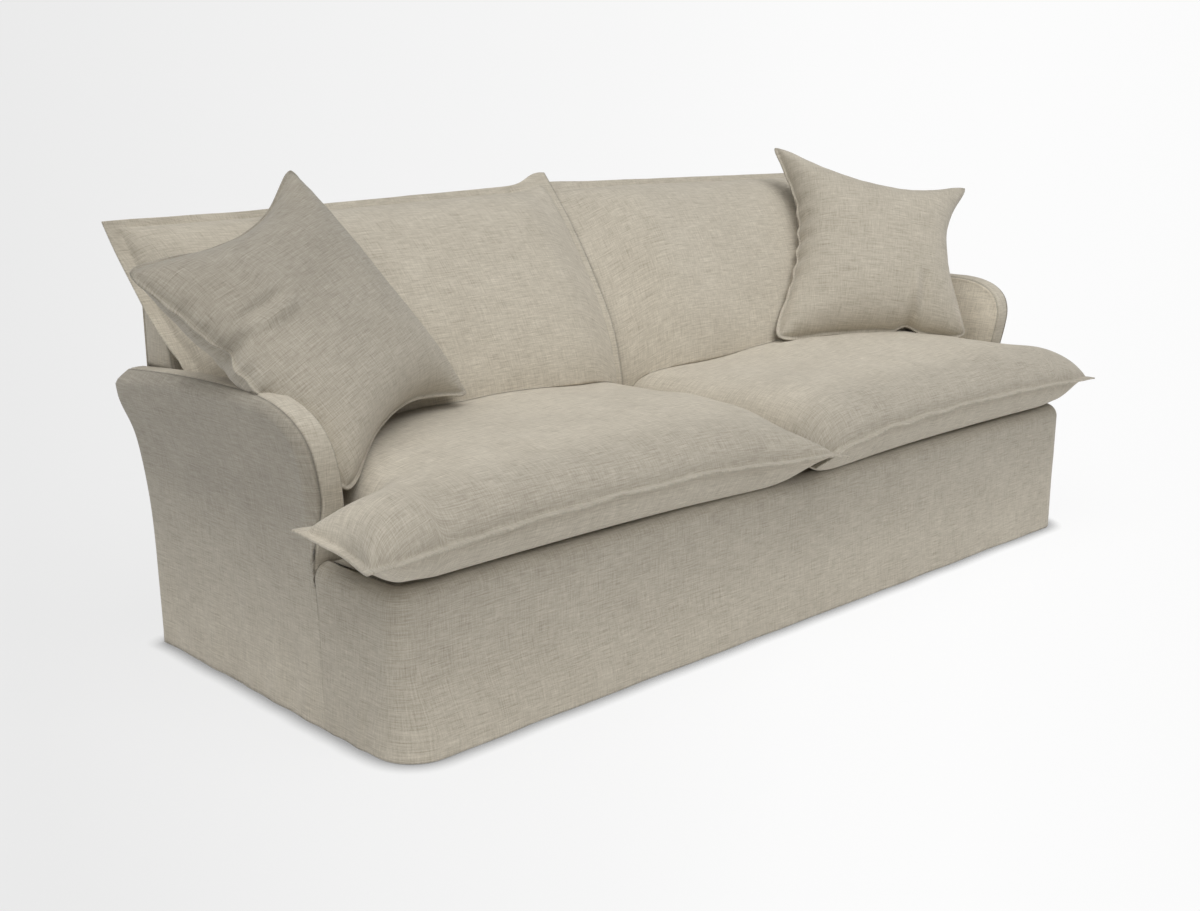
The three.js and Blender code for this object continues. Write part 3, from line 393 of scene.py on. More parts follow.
# Slub linen, unbleached flax woven plain from uneven yarn and washed soft: threads of
# mixed pale and dark flax that show as fine crossed streaks 10 to 40 mm long, a matt face
# with a little fibre sheen, and faint blotches. The real yarn is 0.7 mm; it is drawn at
# about 2 mm across, which is as fine as the picture can show.
def linen(name, tint, seed, low=(0.0, 1.0), high=(0.5, 1.0)):
    """Linen of one tint. low and high are two heights, each with a factor on the colour there, and
    between them the factor runs straight: painted light and shade, which makes each piece lighter or
    darker by height."""
    material, tree = new_material(name)
    cloth = add_node(tree, "ShaderNodeTexCoord")
    uv = cloth.outputs["UV"]

    def yarn(across, along, offset, detail, roughness):
        """Noise stretched into streaks: 1/across metres wide and 1/along metres long."""
        at = add_node(tree, "ShaderNodeMapping", {"Vector": uv}, Scale=(across, along, 1.0),
                      Location=(seed * 3.7 + offset, seed * 1.9 - offset, 0))
        return add_node(tree, "ShaderNodeTexNoise", {"Vector": at.outputs[0]}, Scale=1.0,
                        Detail=detail, Roughness=roughness, noise_dimensions="2D").outputs[0]

    def spread(value, low, high, start, end):
        """The value's range from low to high laid over start to end."""
        return add_node(tree, "ShaderNodeMapRange", {"Value": value}, From_Min=low,
                        From_Max=high, To_Min=start, To_Max=end).outputs[0]

    def total(*values):
        """The sum of several values."""
        first = values[0]
        for value in values[1:]:
            first = add_node(tree, "ShaderNodeMath", {0: first, 1: value},
                             operation="ADD").outputs[0]
        return first

    warp = yarn(470.0, 45.0, 0.0, 2.0, 0.6)
    weft = yarn(40.0, 500.0, 11.0, 2.0, 0.6)
    weft_slub = yarn(15.0, 360.0, 23.0, 1.0, 0.5)
    warp_slub = yarn(360.0, 17.0, 37.0, 1.0, 0.5)
    grain = yarn(560.0, 560.0, 51.0, 1.0, 0.6)
    cloud = yarn(26.0, 34.0, 61.0, 2.0, 0.55)
    blotch = yarn(6.0, 8.0, 5.0, 3.0, 0.5)
    shade = total(spread(warp, 0.3, 0.7, -0.09, 0.09), spread(weft, 0.3, 0.7, -0.11, 0.11),
                  spread(weft_slub, 0.56, 0.76, 0.0, -0.16), spread(weft_slub, 0.42, 0.26, 0.0, 0.13),
                  spread(warp_slub, 0.58, 0.78, 0.0, -0.13), spread(warp_slub, 0.40, 0.24, 0.0, 0.10),
                  spread(grain, 0.3, 0.7, -0.06, 0.06), spread(cloud, 0.3, 0.7, -0.03, 0.03),
                  spread(blotch, 0.3, 0.7, -0.04, 0.04))
    share = spread(shade, -0.5, 0.5, 0.0, 1.0)
    ramp = add_node(tree, "ShaderNodeValToRGB", {"Fac": share})
    stops = ramp.color_ramp.elements
    base = np.array(linear(tint)[:3])
    stops[0].position, stops[0].color = 0.0, (*(base * [0.60, 0.58, 0.55]), 1)
    stops[1].position, stops[1].color = 1.0, (*(base * [1.40, 1.42, 1.46]), 1)
    threads = total(spread(warp, 0.3, 0.7, 0.0, 0.5), spread(weft, 0.3, 0.7, 0.0, 0.5),
                    spread(weft_slub, 0.55, 0.75, 0.0, 0.4))
    relief = add_node(tree, "ShaderNodeBump", {"Height": threads}, Strength=0.25, Distance=0.0009)
    # Painted light and shade by height: the colour is scaled by a factor that runs from the low
    # height's to the high one's.
    height = add_node(tree, "ShaderNodeSeparateXYZ", {0: cloth.outputs["Object"]})
    tone = spread(height.outputs["Z"], low[0], high[0], low[1], high[1])
    # Painted shade in seams, folds and recesses: a vertex attribute from 0 to 1 takes the colour down
    # to 0.45 of itself.
    depth = add_node(tree, "ShaderNodeAttribute", attribute_name="painted_shade")
    left = spread(depth.outputs["Fac"], 0.0, 1.0, 1.0, 0.45)
    left = add_node(tree, "ShaderNodeMath", {0: left, 1: tone}, operation="MULTIPLY")
    colour = add_node(tree, "ShaderNodeVectorMath", {0: ramp.outputs[0], "Scale": left.outputs[0]},
                      operation="SCALE")
    surface = add_node(tree, "ShaderNodeBsdfPrincipled",
                       {"Base Color": colour.outputs[0], "Normal": relief.outputs[0]},
                       Roughness=0.92, IOR=1.45, Specular_IOR_Level=0.25,
                       Sheen_Weight=0.18, Sheen_Roughness=0.6)
    add_node(tree, "ShaderNodeOutputMaterial", {"Surface": surface.outputs[0]})
    return material


SLIPCOVER_LINEN = linen("slub_linen_slipcover", LINEN_HEX, 1)
# Painted light and shade on the border: its colour runs from 0.96 near the floor to 0.79 at the top of
# its wall, under the seat cushions.
BORDER_LINEN = linen("slub_linen_border", LINEN_HEX, 5, (0.02, 0.96), (0.31, 0.79))


def cover(name, node, points, facing, bulge, painted_shade, run, linen_used=None,
          keep=None):
    """A sewn panel of the slipcover through a grid of points, moved outwards by the bulge along the
    surface's normals. run holds the cloth's two coordinates."""
    points = points + normals_of(points, facing) * bulge[..., None]
    panel = hang_cloth(name, points, facing, *run, painted_shade, keep)
    panel.data.materials.append(linen_used or SLIPCOVER_LINEN)
    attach(panel, "sofa_body")
    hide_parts(node)


def border_points(run, rise):
    """Run along the base from the front's centre, rise up the wall and over the roll. The
    plan is a straight front, a quarter circle, wider at the hem, and a straight side; the
    profile is a straight wall, then a quarter circle on to the deck. The sides flare."""
    wall = DECK_HEIGHT - EDGE_ROLL - HEM_HEIGHT
    turn = np.clip((rise - wall) / EDGE_ROLL, 0, math.pi / 2)
    inset = EDGE_ROLL * (1 - np.cos(turn))
    z = HEM_HEIGHT + np.minimum(rise, wall) + EDGE_ROLL * np.sin(turn)
    radius = mix(HEM_RADIUS, CORNER_RADIUS, smoothstep(z, 0, 0.20))
    straight = BASE_HALF - CORNER_RADIUS
    bend = CORNER_RADIUS * math.pi / 2
    side, length = np.sign(run), np.abs(run)
    angle = np.clip((length - straight) / CORNER_RADIUS, 0, math.pi / 2)
    x = np.minimum(length / straight, 1) * (BASE_HALF - radius) + radius * np.sin(angle)
    beyond = np.maximum(length - straight - bend, 0) / (SIDE_SEAM - CORNER_RADIUS)
    y = radius * (1 - np.cos(angle)) + beyond * (SIDE_SEAM - radius)
    flare = (half_width(z) - BASE_HALF) * smoothstep(y, 0, SIDE_SEAM)
    near_corner = smoothstep(length, 0.7, straight) * (1 - smoothstep(y, 0.03, SIDE_SEAM))
    flare = flare + CORNER_OUT * (side > 0) * near_corner
    hem = HEM_OUT * (1 - smoothstep(z, 0, HEM_OUT_RISE)) * np.cos(angle)
    return np.stack([side * (x - np.sin(angle) * inset + flare),
                     y + np.cos(angle) * inset - hem, z], -1)


BORDER_RUN = (BASE_HALF - CORNER_RADIUS) + CORNER_RADIUS * math.pi / 2 + SIDE_SEAM - CORNER_RADIUS
BORDER_RISE = DECK_HEIGHT - EDGE_ROLL - HEM_HEIGHT + EDGE_ROLL * math.pi / 2
share = np.linspace(-1, 1, BORDER_COLUMNS)
run = BORDER_RUN * np.sign(share) * (1 - (1 - np.abs(share)) ** 1.25)
run, rise = np.meshgrid(run, np.linspace(0, BORDER_RISE, BORDER_ROWS))
points = border_points(run, rise)
facing = np.stack([points[..., 0] * (np.abs(points[..., 0]) > 1.0), np.full(run.shape, -1.0),
                   np.zeros(run.shape)], -1)
to_seam = BORDER_RUN - np.abs(run)
low = 1 - smoothstep(rise, 0, 0.30)
side_share = smoothstep(np.abs(run), 0.96, 1.10)
bulge = (0.0018 + 0.0020 * slack(run, rise, 0.42, 11) + 0.0011 * slack(run, rise * 0.5, 0.16, 12)
         + 0.0022 * low * slack(run, rise * 0.25, 0.17, 13)
         + 0.0022 * side_share * low * slack(run, rise * 0.15, 0.075, 14)
         - 0.0005 * ridge(rise, HEM_FOLD, 0.0022))
bulge = mix(np.maximum(bulge, 0.0), SEAM_STANDS, ridge(to_seam, 0, 0.03))
# Painted shade: darker lines along the side seams and the hem fold.
painted_shade = 0.07 * ridge(to_seam, 0, 0.0018) + 0.12 * ridge(rise, HEM_FOLD, 0.0016)
cover("front_border_linen", "front_border", points, facing, bulge, painted_shade, (run, rise),
      BORDER_LINEN)

# Outer arm panels
# Linen from the floor to the arm seam, flaring outwards with the arm frame. Each rolls
# over the padded arm top and front, and is sewn to the arm band along a curved seam.
ARM_CREST = 0.631
ARM_WIDTH = 0.066
ARM_SETBACK = 0.232
ARM_ROLL, ARM_ROLL_REAR, ARM_ROLL_REACH = 0.020, 0.032, 0.026
REAR_LINE = BASE_DEPTH - 0.0033
DECK_TOP = DECK_HEIGHT + 0.0003
ARM_COLUMNS, ARM_ROWS = 181, 105
SWELL, SWELL_HEIGHT, SWELL_SPREAD = 0.012, 0.540, 0.050
# Painted light and shade on the outer arms: lighter near the floor and much darker towards the arm
# roll.
ARM_LINEN = linen("slub_linen_arm", LINEN_HEX, 6, (0.04, 1.05), (0.42, 0.665))


def quadratic(start, control, end, share):
    """The quadratic curve from start to end that leaves and arrives towards control."""
    share = share[:, None]
    return ((1 - share) ** 2 * start + 2 * share * (1 - share) * control
            + share ** 2 * end)


def evenly(line, count):
    """As many points as count, evenly spaced along a line of points, and the line's length."""
    length = np.concatenate([[0], np.cumsum(np.linalg.norm(np.diff(line, axis=0), axis=1))])
    even = np.linspace(0, length[-1], count)
    return np.stack([np.interp(even, length, line[:, k]) for k in (0, 1)], -1), length[-1]


def arm_seam(count):
    """Evenly spaced points (depth, height) on the arm seam, from the rear corner over the
    crest and round the nose to the deck: three quadratic curves, spaced by their length."""
    crest_front, nose_front = ARM_SETBACK + ARM_WIDTH * 1.8, ARM_SETBACK - ARM_WIDTH * 0.6
    nose_height = mix(DECK_HEIGHT, ARM_HEIGHT, 0.75)
    knots = np.array([
        [REAR_LINE, ARM_HEIGHT], [mix(REAR_LINE, crest_front, 0.6), ARM_CREST],
        [crest_front, ARM_CREST], [nose_front, ARM_CREST], [nose_front, nose_height],
        [nose_front, mix(DECK_TOP, nose_height, 0.6)], [ARM_SETBACK, DECK_TOP],
    ])
    share = np.linspace(0, 1, 120)
    curve = [quadratic(*knots[k:k + 3], share)[:-1] for k in (0, 2, 4)]
    return evenly(np.concatenate(curve + [knots[-1:]]), count)


def seam_distance(depth, height, line):
    """Shortest distance, seen from the side, from points to the seam's line pieces."""
    point = np.stack([depth, height], -1).reshape(-1, 1, 2)
    start, step = line[:-1], np.diff(line, axis=0)
    share = np.clip(((point - start) * step).sum(-1) / (step * step).sum(-1), 0, 1)
    gap = point - (start + share[..., None] * step)
    return np.linalg.norm(gap, axis=-1).min(-1).reshape(depth.shape)


def roll_in(depth, height, distance):
    """How far the outer side rolls inwards: its depth, deeper towards the back, times the
    power 1.8 of how near the seam is, and none at the deck."""
    deep = mix(ARM_ROLL, ARM_ROLL_REAR, smoothstep(depth, ARM_SETBACK, REAR_LINE))
    standing = smoothstep(height, DECK_TOP, DECK_TOP + 2 * ARM_WIDTH)
    return deep * standing * np.maximum(1 - distance / ARM_ROLL_REACH, 0) ** 1.8


def rear_swell(depth, height):
    """How much fuller the outer side stands below the roll towards the back: a bell over
    the height times an S-curve over the depth."""
    return SWELL * ridge(height, SWELL_HEIGHT, SWELL_SPREAD) * smoothstep(depth, 0.40, REAR_LINE)


seam_line, seam_length = arm_seam(ARM_COLUMNS)
share_u = np.linspace(0, 1, ARM_COLUMNS)[None, :]
share_v = (1 - (1 - np.linspace(0, 1, ARM_ROWS)) ** 1.5)[:, None]
foot = mix(REAR_LINE + 0.003, SIDE_SEAM, share_u)
arm_y = mix(foot, seam_line[None, :, 0], share_v ** 3)
arm_z = mix(HEM_HEIGHT, seam_line[None, :, 1], share_v) + 0 * share_u
near = seam_distance(arm_y, arm_z, seam_line)
arm_x = half_width(arm_z) - roll_in(arm_y, arm_z, near)
arm_x = arm_x + rear_swell(arm_y, arm_z) * smoothstep(near, 0, ARM_ROLL_REACH)
for side, name, seed in ((-1, "left", 21), (1, "right", 31)):
    points = np.stack([side * arm_x, arm_y, arm_z], -1)
    facing = np.stack([np.full(arm_z.shape, side * 1.0), 0 * arm_z, np.full(arm_z.shape, 0.2)], -1)
    low = 1 - smoothstep(arm_z, 0, 0.34)
    to_rear, to_front = BASE_DEPTH - arm_y, np.abs(arm_y - SIDE_SEAM) + 10 * (arm_z > DECK_TOP)
    bulge = (0.0020 + 0.0022 * slack(arm_y, arm_z, 0.40, seed) * smoothstep(near, 0, 0.06)
             + 0.0010 * slack(arm_y, arm_z * 0.5, 0.14, seed + 1) * smoothstep(near, 0, 0.06)
             + 0.0024 * low * slack(arm_y, arm_z * 0.2, 0.11, seed + 2)
             + 0.0014 * ridge(near, 0.0055, 0.0026)
             - 0.0005 * ridge(arm_z, HEM_HEIGHT + HEM_FOLD, 0.0022))
    bulge = np.maximum(bulge, 0.0) - 0.0012 * ridge(near, 0, 0.0024)
    bulge = mix(bulge, SEAM_STANDS, ridge(to_front, 0, 0.03)) * (1 - ridge(to_rear, 0, 0.004))
    # Painted shade: a dark line along the arm seam, fainter ones at the front seam and the hem fold.
    painted_shade = (0.7 * ridge(near, 0, 0.0020) + 0.07 * ridge(to_front, 0, 0.0018)
              + 0.12 * ridge(arm_z, HEM_HEIGHT + HEM_FOLD, 0.0016))
    cover(f"outer_arm_linen_{name}", f"outer_arm_{name}", points, facing, bulge, painted_shade,
          (arm_y, arm_z), ARM_LINEN)

# Arm bands
# The narrow boxing strip over each arm top and down its front, linen over a soft pad. It
# is sewn between the outer and inner arm panels, with both seam allowances turned in.
BAND_FOOT, BAND_TURNS, BAND_PUFF = 0.046, 0.56, 0.0030
BAND_FOOT_ROWS, BAND_COLUMNS = 5, 25
band_feet = DECK_TOP - np.linspace(0, BAND_FOOT, BAND_FOOT_ROWS + 1)[1:]
band_seam = np.concatenate([seam_line, np.stack([0 * band_feet + ARM_SETBACK, band_feet], -1)])
across = 0.5 - 0.5 * np.cos(np.linspace(0, math.pi, BAND_COLUMNS))
for side, name, seed in ((-1, "left", 41), (1, "right", 51)):
    band_y, band_z = (np.repeat(band_seam[:, k][:, None], len(across), 1) for k in (0, 1))
    outer_edge = half_width(band_z) - roll_in(band_y, band_z, 0 * band_y)
    inner_edge = half_width(band_z) - ARM_WIDTH
    band_x = mix(outer_edge, inner_edge, across[None, :])
    points = np.stack([side * band_x, band_y, band_z], -1)
    facing = np.stack([0 * band_y, (band_y < ARM_SETBACK + ARM_WIDTH) * -1.0,
                       np.full(band_y.shape, 1.0)], -1)
    facing[..., 2][band_z < BAND_TURNS] = 0
    along = np.linspace(0, seam_length + BAND_FOOT, len(band_seam))[:, None] + 0 * band_x
    wide = outer_edge - inner_edge
    edge = np.minimum(across, 1 - across)[None, :] * wide
    bulge = (BAND_PUFF * np.sin(math.pi * across)[None, :] ** 0.8
             - 0.0010 * ridge(edge, 0, 0.0022) + 0.0012 * ridge(edge, 0.005, 0.0024)
             + 0.0007 * slack(along, band_x, 0.05, seed) * np.sin(math.pi * across)[None, :])
    # Painted shade: darker lines along both seams of the band.
    painted_shade = 0.5 * ridge(edge, 0, 0.0020)
    cover(f"arm_band_linen_{name}", f"arm_band_{name}", points, facing, bulge, painted_shade,
          (band_x, along))

# Inside arm panels
# Linen over the arm pad, from the deck up to the arm band's inner seam. Behind the back
# cushions it runs on to the rear line, above the height where the inside back meets it.
SEAT_DEPTH = 0.660
BACK_HEIGHT = 0.775
BACK_TOP_DEPTH = 0.060
RAKE = (BASE_DEPTH - BACK_TOP_DEPTH - SEAT_DEPTH) / (BACK_HEIGHT - DECK_HEIGHT)
INSIDE_ROWS = 61
# Painted light on the inside arms: the colour rises to half as light again from 0.42 m to 0.54 m high.
INSIDE_LINEN = linen("slub_linen_inside_arm", LINEN_HEX, 8, (0.42, 1.0), (0.54, 1.5))


def back_face(height):
    """Depth of the inside back: the seat's depth, plus the rake times the rise from the deck."""
    return SEAT_DEPTH + (height - DECK_HEIGHT) * RAKE


share_v = (1 - (1 - np.linspace(0, 1, INSIDE_ROWS)) ** 1.4)[:, None]
in_z = mix(DECK_TOP, seam_line[None, :, 1], share_v) + 0 * share_u
opens = smoothstep(in_z, mix(DECK_TOP, ARM_HEIGHT, 0.55), ARM_HEIGHT)
in_rear = mix(back_face(in_z), REAR_LINE, opens)
in_y = mix(mix(in_rear, ARM_SETBACK, share_u), seam_line[None, :, 0], share_v ** 2)
near = seam_distance(in_y, in_z, seam_line)
for side, name, seed in ((-1, "left", 61), (1, "right", 71)):
    points = np.stack([side * (half_width(in_z) - ARM_WIDTH), in_y, in_z], -1)
    facing = np.array([-side * 1.0, 0.0, 0.3])
    bulge = (0.0012 * slack(in_y, in_z, 0.16, seed) * smoothstep(near, 0, 0.03)
             + 0.0030 * smoothstep(near, 0.004, 0.05) * smoothstep(in_z, DECK_TOP, DECK_TOP + 0.08)
             - 0.0010 * ridge(near, 0, 0.0022) + 0.0010 * ridge(near, 0.005, 0.0024))
    # Painted shade: a dark line along the seam to the arm band.
    painted_shade = 0.9 * ridge(near, 0, 0.0020)
    cover(f"inside_arm_linen_{name}", f"inside_arm_{name}", points, facing, bulge, painted_shade,
          (in_y, in_z), INSIDE_LINEN)

# Back: inside panel, top band and outside panel
# Linen over the raked and padded back frame. The band closes the arched top and the two
# upper sides, and the plain outside panel hangs from it to the floor.
BACK_HALF = BASE_HALF - 0.009
BACK_RADIUS = 0.045
ARCH_RISE = 0.028
BACK_COLUMNS, BACK_ROWS, BAND_ROWS = 241, 71, 15
OUTSIDE_COLUMNS, SHOULDER_COLUMNS = 161, 8
OUTSIDE_LOW, OUTSIDE_HIGH = 70, 22
BAND_LIFT, BAND_INSET = 0.003, 0.0035


def back_top(across_x):
    """Height of the back's arched top: the back height plus a parabola over the width."""
    return BACK_HEIGHT + ARCH_RISE * (1 - np.minimum(np.abs(across_x) / BACK_HALF, 1) ** 2)


def back_outline(lower, count):
    """Evenly spaced points (x, z) up one side of the back, round its corner, over the arch
    and down the other side: straight, a quarter circle and the parabola, by their length."""
    arch_half = BACK_HALF - BACK_RADIUS
    angle = np.linspace(0, math.pi / 2, 24)
    corner_z = back_top(arch_half) - BACK_RADIUS
    corner = np.stack([-arch_half - BACK_RADIUS * np.cos(angle),
                       corner_z + BACK_RADIUS * np.sin(angle)], -1)
    arch_x = np.linspace(-arch_half, arch_half, 120)[1:-1]
    arch = np.stack([arch_x, back_top(arch_x)], -1)
    left = np.concatenate([[[-BACK_HALF, lower]], corner])
    return evenly(np.concatenate([left, arch, (left * [-1, 1])[::-1]]), count)


top_line = back_outline(ARM_HEIGHT, BACK_COLUMNS)[0]
share_v = np.linspace(0, 1, BACK_ROWS)[:, None]
back_z = mix(DECK_TOP, top_line[None, :, 1], share_v)
deck_half = half_width(DECK_HEIGHT) - ARM_WIDTH
foot_x = np.linspace(-deck_half, deck_half, len(top_line))[None, :]
limit = np.minimum(BACK_HALF, np.maximum(half_width(back_z) - ARM_WIDTH, deck_half))
back_x = np.clip(mix(foot_x, top_line[None, :, 0], share_v), -limit, limit)
edge = np.minimum(BACK_HALF - np.abs(back_x), back_top(back_x) - back_z)
points = np.stack([back_x, back_face(back_z), back_z], -1)
facing = np.array([0.0, -1.0, 0.0])
bulge = 0.0010 * slack(back_x, back_z, 0.30, 81) - 0.0016 * ridge(edge, 0, 0.004) - 0.0012
# Painted shade: darker along the panel's seams at its edges.
painted_shade = 0.6 * ridge(edge, 0, 0.003)
cover("inside_back_linen", "inside_back", points, facing, bulge, painted_shade, (back_x, back_z))

band_line, band_length = back_outline(ARM_HEIGHT + BAND_LIFT, BACK_COLUMNS)
depth_share = np.linspace(0, 1, BAND_ROWS)[None, :]
band_x, band_z = (np.repeat(band_line[:, k][:, None], BAND_ROWS, 1) for k in (0, 1))
band_front = back_face(band_z) + BAND_INSET
band_y = mix(band_front, BASE_DEPTH, depth_share)
along = np.linspace(0, band_length, BACK_COLUMNS)[:, None] + 0 * band_y
points = np.stack([band_x, band_y, band_z], -1)
facing = np.stack([band_x * (np.abs(band_x) > 1.0), 0 * band_x,
                   (band_z > BACK_HEIGHT - BACK_RADIUS) * 1.0], -1)
edge = np.minimum(band_y - band_front, BASE_DEPTH - band_y)
bulge = (0.0020 * np.sin(math.pi * depth_share) - 0.0020 * ridge(edge, 0, 0.004)
         + 0.0008 * slack(along, band_y, 0.12, 83))
# Painted shade: darker along the band's two seams.
painted_shade = 0.6 * ridge(edge, 0, 0.003)
cover("back_top_band_linen", "back_top_band", points, facing, bulge, painted_shade, (along, band_y))

shoulder = float(half_width(ARM_HEIGHT)) - ARM_ROLL_REAR
arm_share = BACK_HALF / shoulder
middle = np.linspace(-arm_share, arm_share, OUTSIDE_COLUMNS)
outer = np.linspace(arm_share, 1, SHOULDER_COLUMNS + 1)[1:]
columns = np.concatenate([-outer[::-1], middle, outer])[None, :]
low_z = np.linspace(HEM_HEIGHT, ARM_HEIGHT, OUTSIDE_LOW)[:, None]
low_half = half_width(low_z) - roll_in(REAR_LINE + 0 * low_z, low_z, ARM_HEIGHT - low_z)
low_half = low_half + (rear_swell(REAR_LINE, low_z)
                       * smoothstep(ARM_HEIGHT - low_z, 0, ARM_ROLL_REACH))
low_points = np.stack([columns * low_half, low_z + 0 * columns], -1)
up = np.linspace(0, 1, OUTSIDE_HIGH)[1:, None]
high_x = columns * shoulder + 0 * up
corner_fall = np.maximum(np.abs(high_x) - (BACK_HALF - BACK_RADIUS), 0)
corner_drop = BACK_RADIUS - np.sqrt(np.maximum(BACK_RADIUS ** 2 - corner_fall ** 2, 0))
high_z = mix(ARM_HEIGHT, back_top(high_x) - corner_drop, up)
flat = np.concatenate([low_points, np.stack([high_x, high_z], -1)])
keep = np.ones((flat.shape[0] - 1, flat.shape[1] - 1), bool)
keep[OUTSIDE_LOW - 1:, :SHOULDER_COLUMNS] = keep[OUTSIDE_LOW - 1:, -SHOULDER_COLUMNS:] = False
x, z = flat[..., 0], flat[..., 1]
panel_half = np.concatenate([low_half, np.full((OUTSIDE_HIGH - 1, 1), BACK_HALF)])
edge = np.where(z < ARM_HEIGHT, panel_half - np.abs(x), 1.0)
bulge = (0.0020 + 0.0022 * slack(x, z, 0.55, 91)
         + 0.0022 * (1 - smoothstep(z, 0, 0.5)) * slack(x, z * 0.2, 0.24, 92)
         - 0.0005 * ridge(z, HEM_HEIGHT + HEM_FOLD, 0.0022))
bulge = np.maximum(bulge, 0.0004) - 0.0014 * ridge(edge, 0, 0.004)
# Painted shade: darker along the side and top seams and the hem fold.
painted_shade = 0.7 * ridge(edge, 0, 0.003) + 0.25 * ridge(z, HEM_HEIGHT + HEM_FOLD, 0.0016)
cover("outside_back_linen", "outside_back", np.stack([x, 0 * x + BASE_DEPTH, z], -1),
      np.array([0.0, 1.0, 0.0]), bulge, painted_shade, (x, z),
      keep=keep)

# Deck cover
# Linen stretched over the sprung and padded deck, under the seat cushions. It is sewn to
# the front border behind the roll, and tucked in at the arms and the back.
DECK_MARGIN, DECK_SAG = 0.0006, 0.0022
FRONT_ROWS, REAR_ROWS, DECK_COLUMNS = 20, 46, 161
deck_y = np.concatenate([
    np.linspace(EDGE_ROLL + DECK_MARGIN, SIDE_SEAM - 0.004, FRONT_ROWS),
    np.linspace(SIDE_SEAM - 0.003, SEAT_DEPTH - 0.002, REAR_ROWS)])[:, None]
deck_wide = np.where(deck_y < SIDE_SEAM - 0.0035, BASE_HALF - EDGE_ROLL, deck_half) - DECK_MARGIN
deck_x = np.linspace(-1, 1, DECK_COLUMNS)[None, :] * deck_wide
deck_y = deck_y + 0 * deck_x
edge = np.minimum(deck_wide - np.abs(deck_x), deck_y - EDGE_ROLL)
bulge = 0.0008 * slack(deck_x, deck_y, 0.12, 95) - DECK_SAG * smoothstep(edge, 0, 0.05)
# Painted shade: darker along the edges, where the deck cover tucks in.
cover("deck_linen", "deck_cover", np.stack([deck_x, deck_y, 0 * deck_x + DECK_HEIGHT], -1),
      np.array([0.0, 0.0, 1.0]), bulge, 0.7 * ridge(edge, 0, 0.003), (deck_x, deck_y))

# Foam pads
# Slabs of upholstery foam under the linen: one on the deck over the springs, one on the
# back and one inside each arm. Hot-wire cut, with softened edges, and glued where they lie.
DECK_PAD, DECK_PAD_MIDDLE = 0.0184, 0.0134
BACK_PAD, BACK_PAD_MIDDLE = 0.0172, 0.0130
ARM_PAD, ARM_PAD_MIDDLE = 0.0146, 0.0108
PAD_EDGE = 0.012


def graded(stops):
    """Numbers from the first stop to the last: between each two, as many even steps as the
    stop gives. stops is a list of (number, steps to it)."""
    parts = [[stops[0][0]]]
    for (start, _), (end, steps) in zip(stops[:-1], stops[1:]):
        parts.append(np.linspace(start, end, steps + 1)[1:])
    return np.concatenate(parts)


def sew_cushion(name, top, bottom, painted_shade, keep=None, shift=0):
    """A closed cushion from two grids of points with one plan. The kept quads of both are joined along
    their common border by a narrow wall, the flange's own edge. The painted shade is one grid for both
    faces, or one for each, and shift moves the weave along the cloth."""
    rows, columns = top.shape[:2]
    faces = grid_faces(rows, columns, keep)
    count = rows * columns
    starts = faces.ravel()
    ends = np.roll(faces, -1, axis=1).ravel()
    key = np.minimum(starts, ends) * count + np.maximum(starts, ends)
    _, first, times = np.unique(key, return_index=True, return_counts=True)
    border = first[times == 1]
    wall = np.stack([ends[border], starts[border], starts[border] + count,
                     ends[border] + count], 1)
    every = np.concatenate([faces, faces[:, ::-1] + count, wall])
    flat = np.concatenate([top.reshape(-1, 3), bottom.reshape(-1, 3)])
    corner = flat[every] - flat[every].mean((0, 1))
    volume = (np.cross(corner[:, 0], corner[:, 1]) * corner[:, 2]).sum()
    volume += (np.cross(corner[:, 0], corner[:, 2]) * corner[:, 3]).sum()
    if volume < 0:
        every = every[:, ::-1]
    used, back = np.unique(every, return_inverse=True)
    u, v = (np.tile(field.ravel(), 2) for field in run_lengths(top))
    depth = np.broadcast_to(painted_shade, (2, rows, columns)).ravel()
    return make_object(name, flat[used], back.reshape(every.shape), u[used] + shift, v[used],
                       depth[used])


def run_lengths(points):
    """Cloth coordinates of a grid of points: lengths measured over the surface along its
    rows and its columns, from the middle column and the middle row."""
    step_u = np.linalg.norm(np.diff(points, axis=1), axis=-1)
    step_v = np.linalg.norm(np.diff(points, axis=0), axis=-1)
    u = np.pad(np.cumsum(step_u, 1), ((0, 0), (1, 0)))
    v = np.pad(np.cumsum(step_v, 0), ((1, 0), (0, 0)))
    return u - u[:, [u.shape[1] // 2]], v - v[[v.shape[0] // 2], :]


def fit_padding(padding, material, body, node):
    """What a padded piece is made of, its body, and the solid it stands for, which it hides."""
    padding.data.materials.append(material)
    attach(padding, body)
    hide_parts(node)


# Cut polyurethane foam: a matt face of open cells, 1.4 mm across, that is yellowed a little
# in patches about 200 mm wide
FOAM_STAIN, FOAM_CELLS = {"Scale": 5.0, "Detail": 3.0}, {"Scale": 700.0}
FOAM = plain_finish("polyurethane_foam", ("ShaderNodeTexNoise", FOAM_STAIN),
                    ("#d9cfa9", "#ece5cb"), ends=(0.3, 0.7), Roughness=0.95,
                    relief=(0.5, 0.0006, "ShaderNodeTexVoronoi", FOAM_CELLS),
                    Specular_IOR_Level=0.2)


def foam_slab(name, middle, inward, rim, thickness):
    """A foam pad: a grid through the middle of its thickness, moved half of it both ways
    along the inward direction. Its edge is a quarter ellipse, half as thick at the rim."""
    blunt = np.sqrt(1 - (1 - np.minimum(rim / PAD_EDGE, 1)) ** 2)
    half = thickness / 2 * mix(0.5, 1.0, blunt)[..., None]
    pad = sew_cushion(f"foam_{name}", middle - half * inward, middle + half * inward, 0 * rim)
    fit_padding(pad, FOAM, "sofa_body", name)


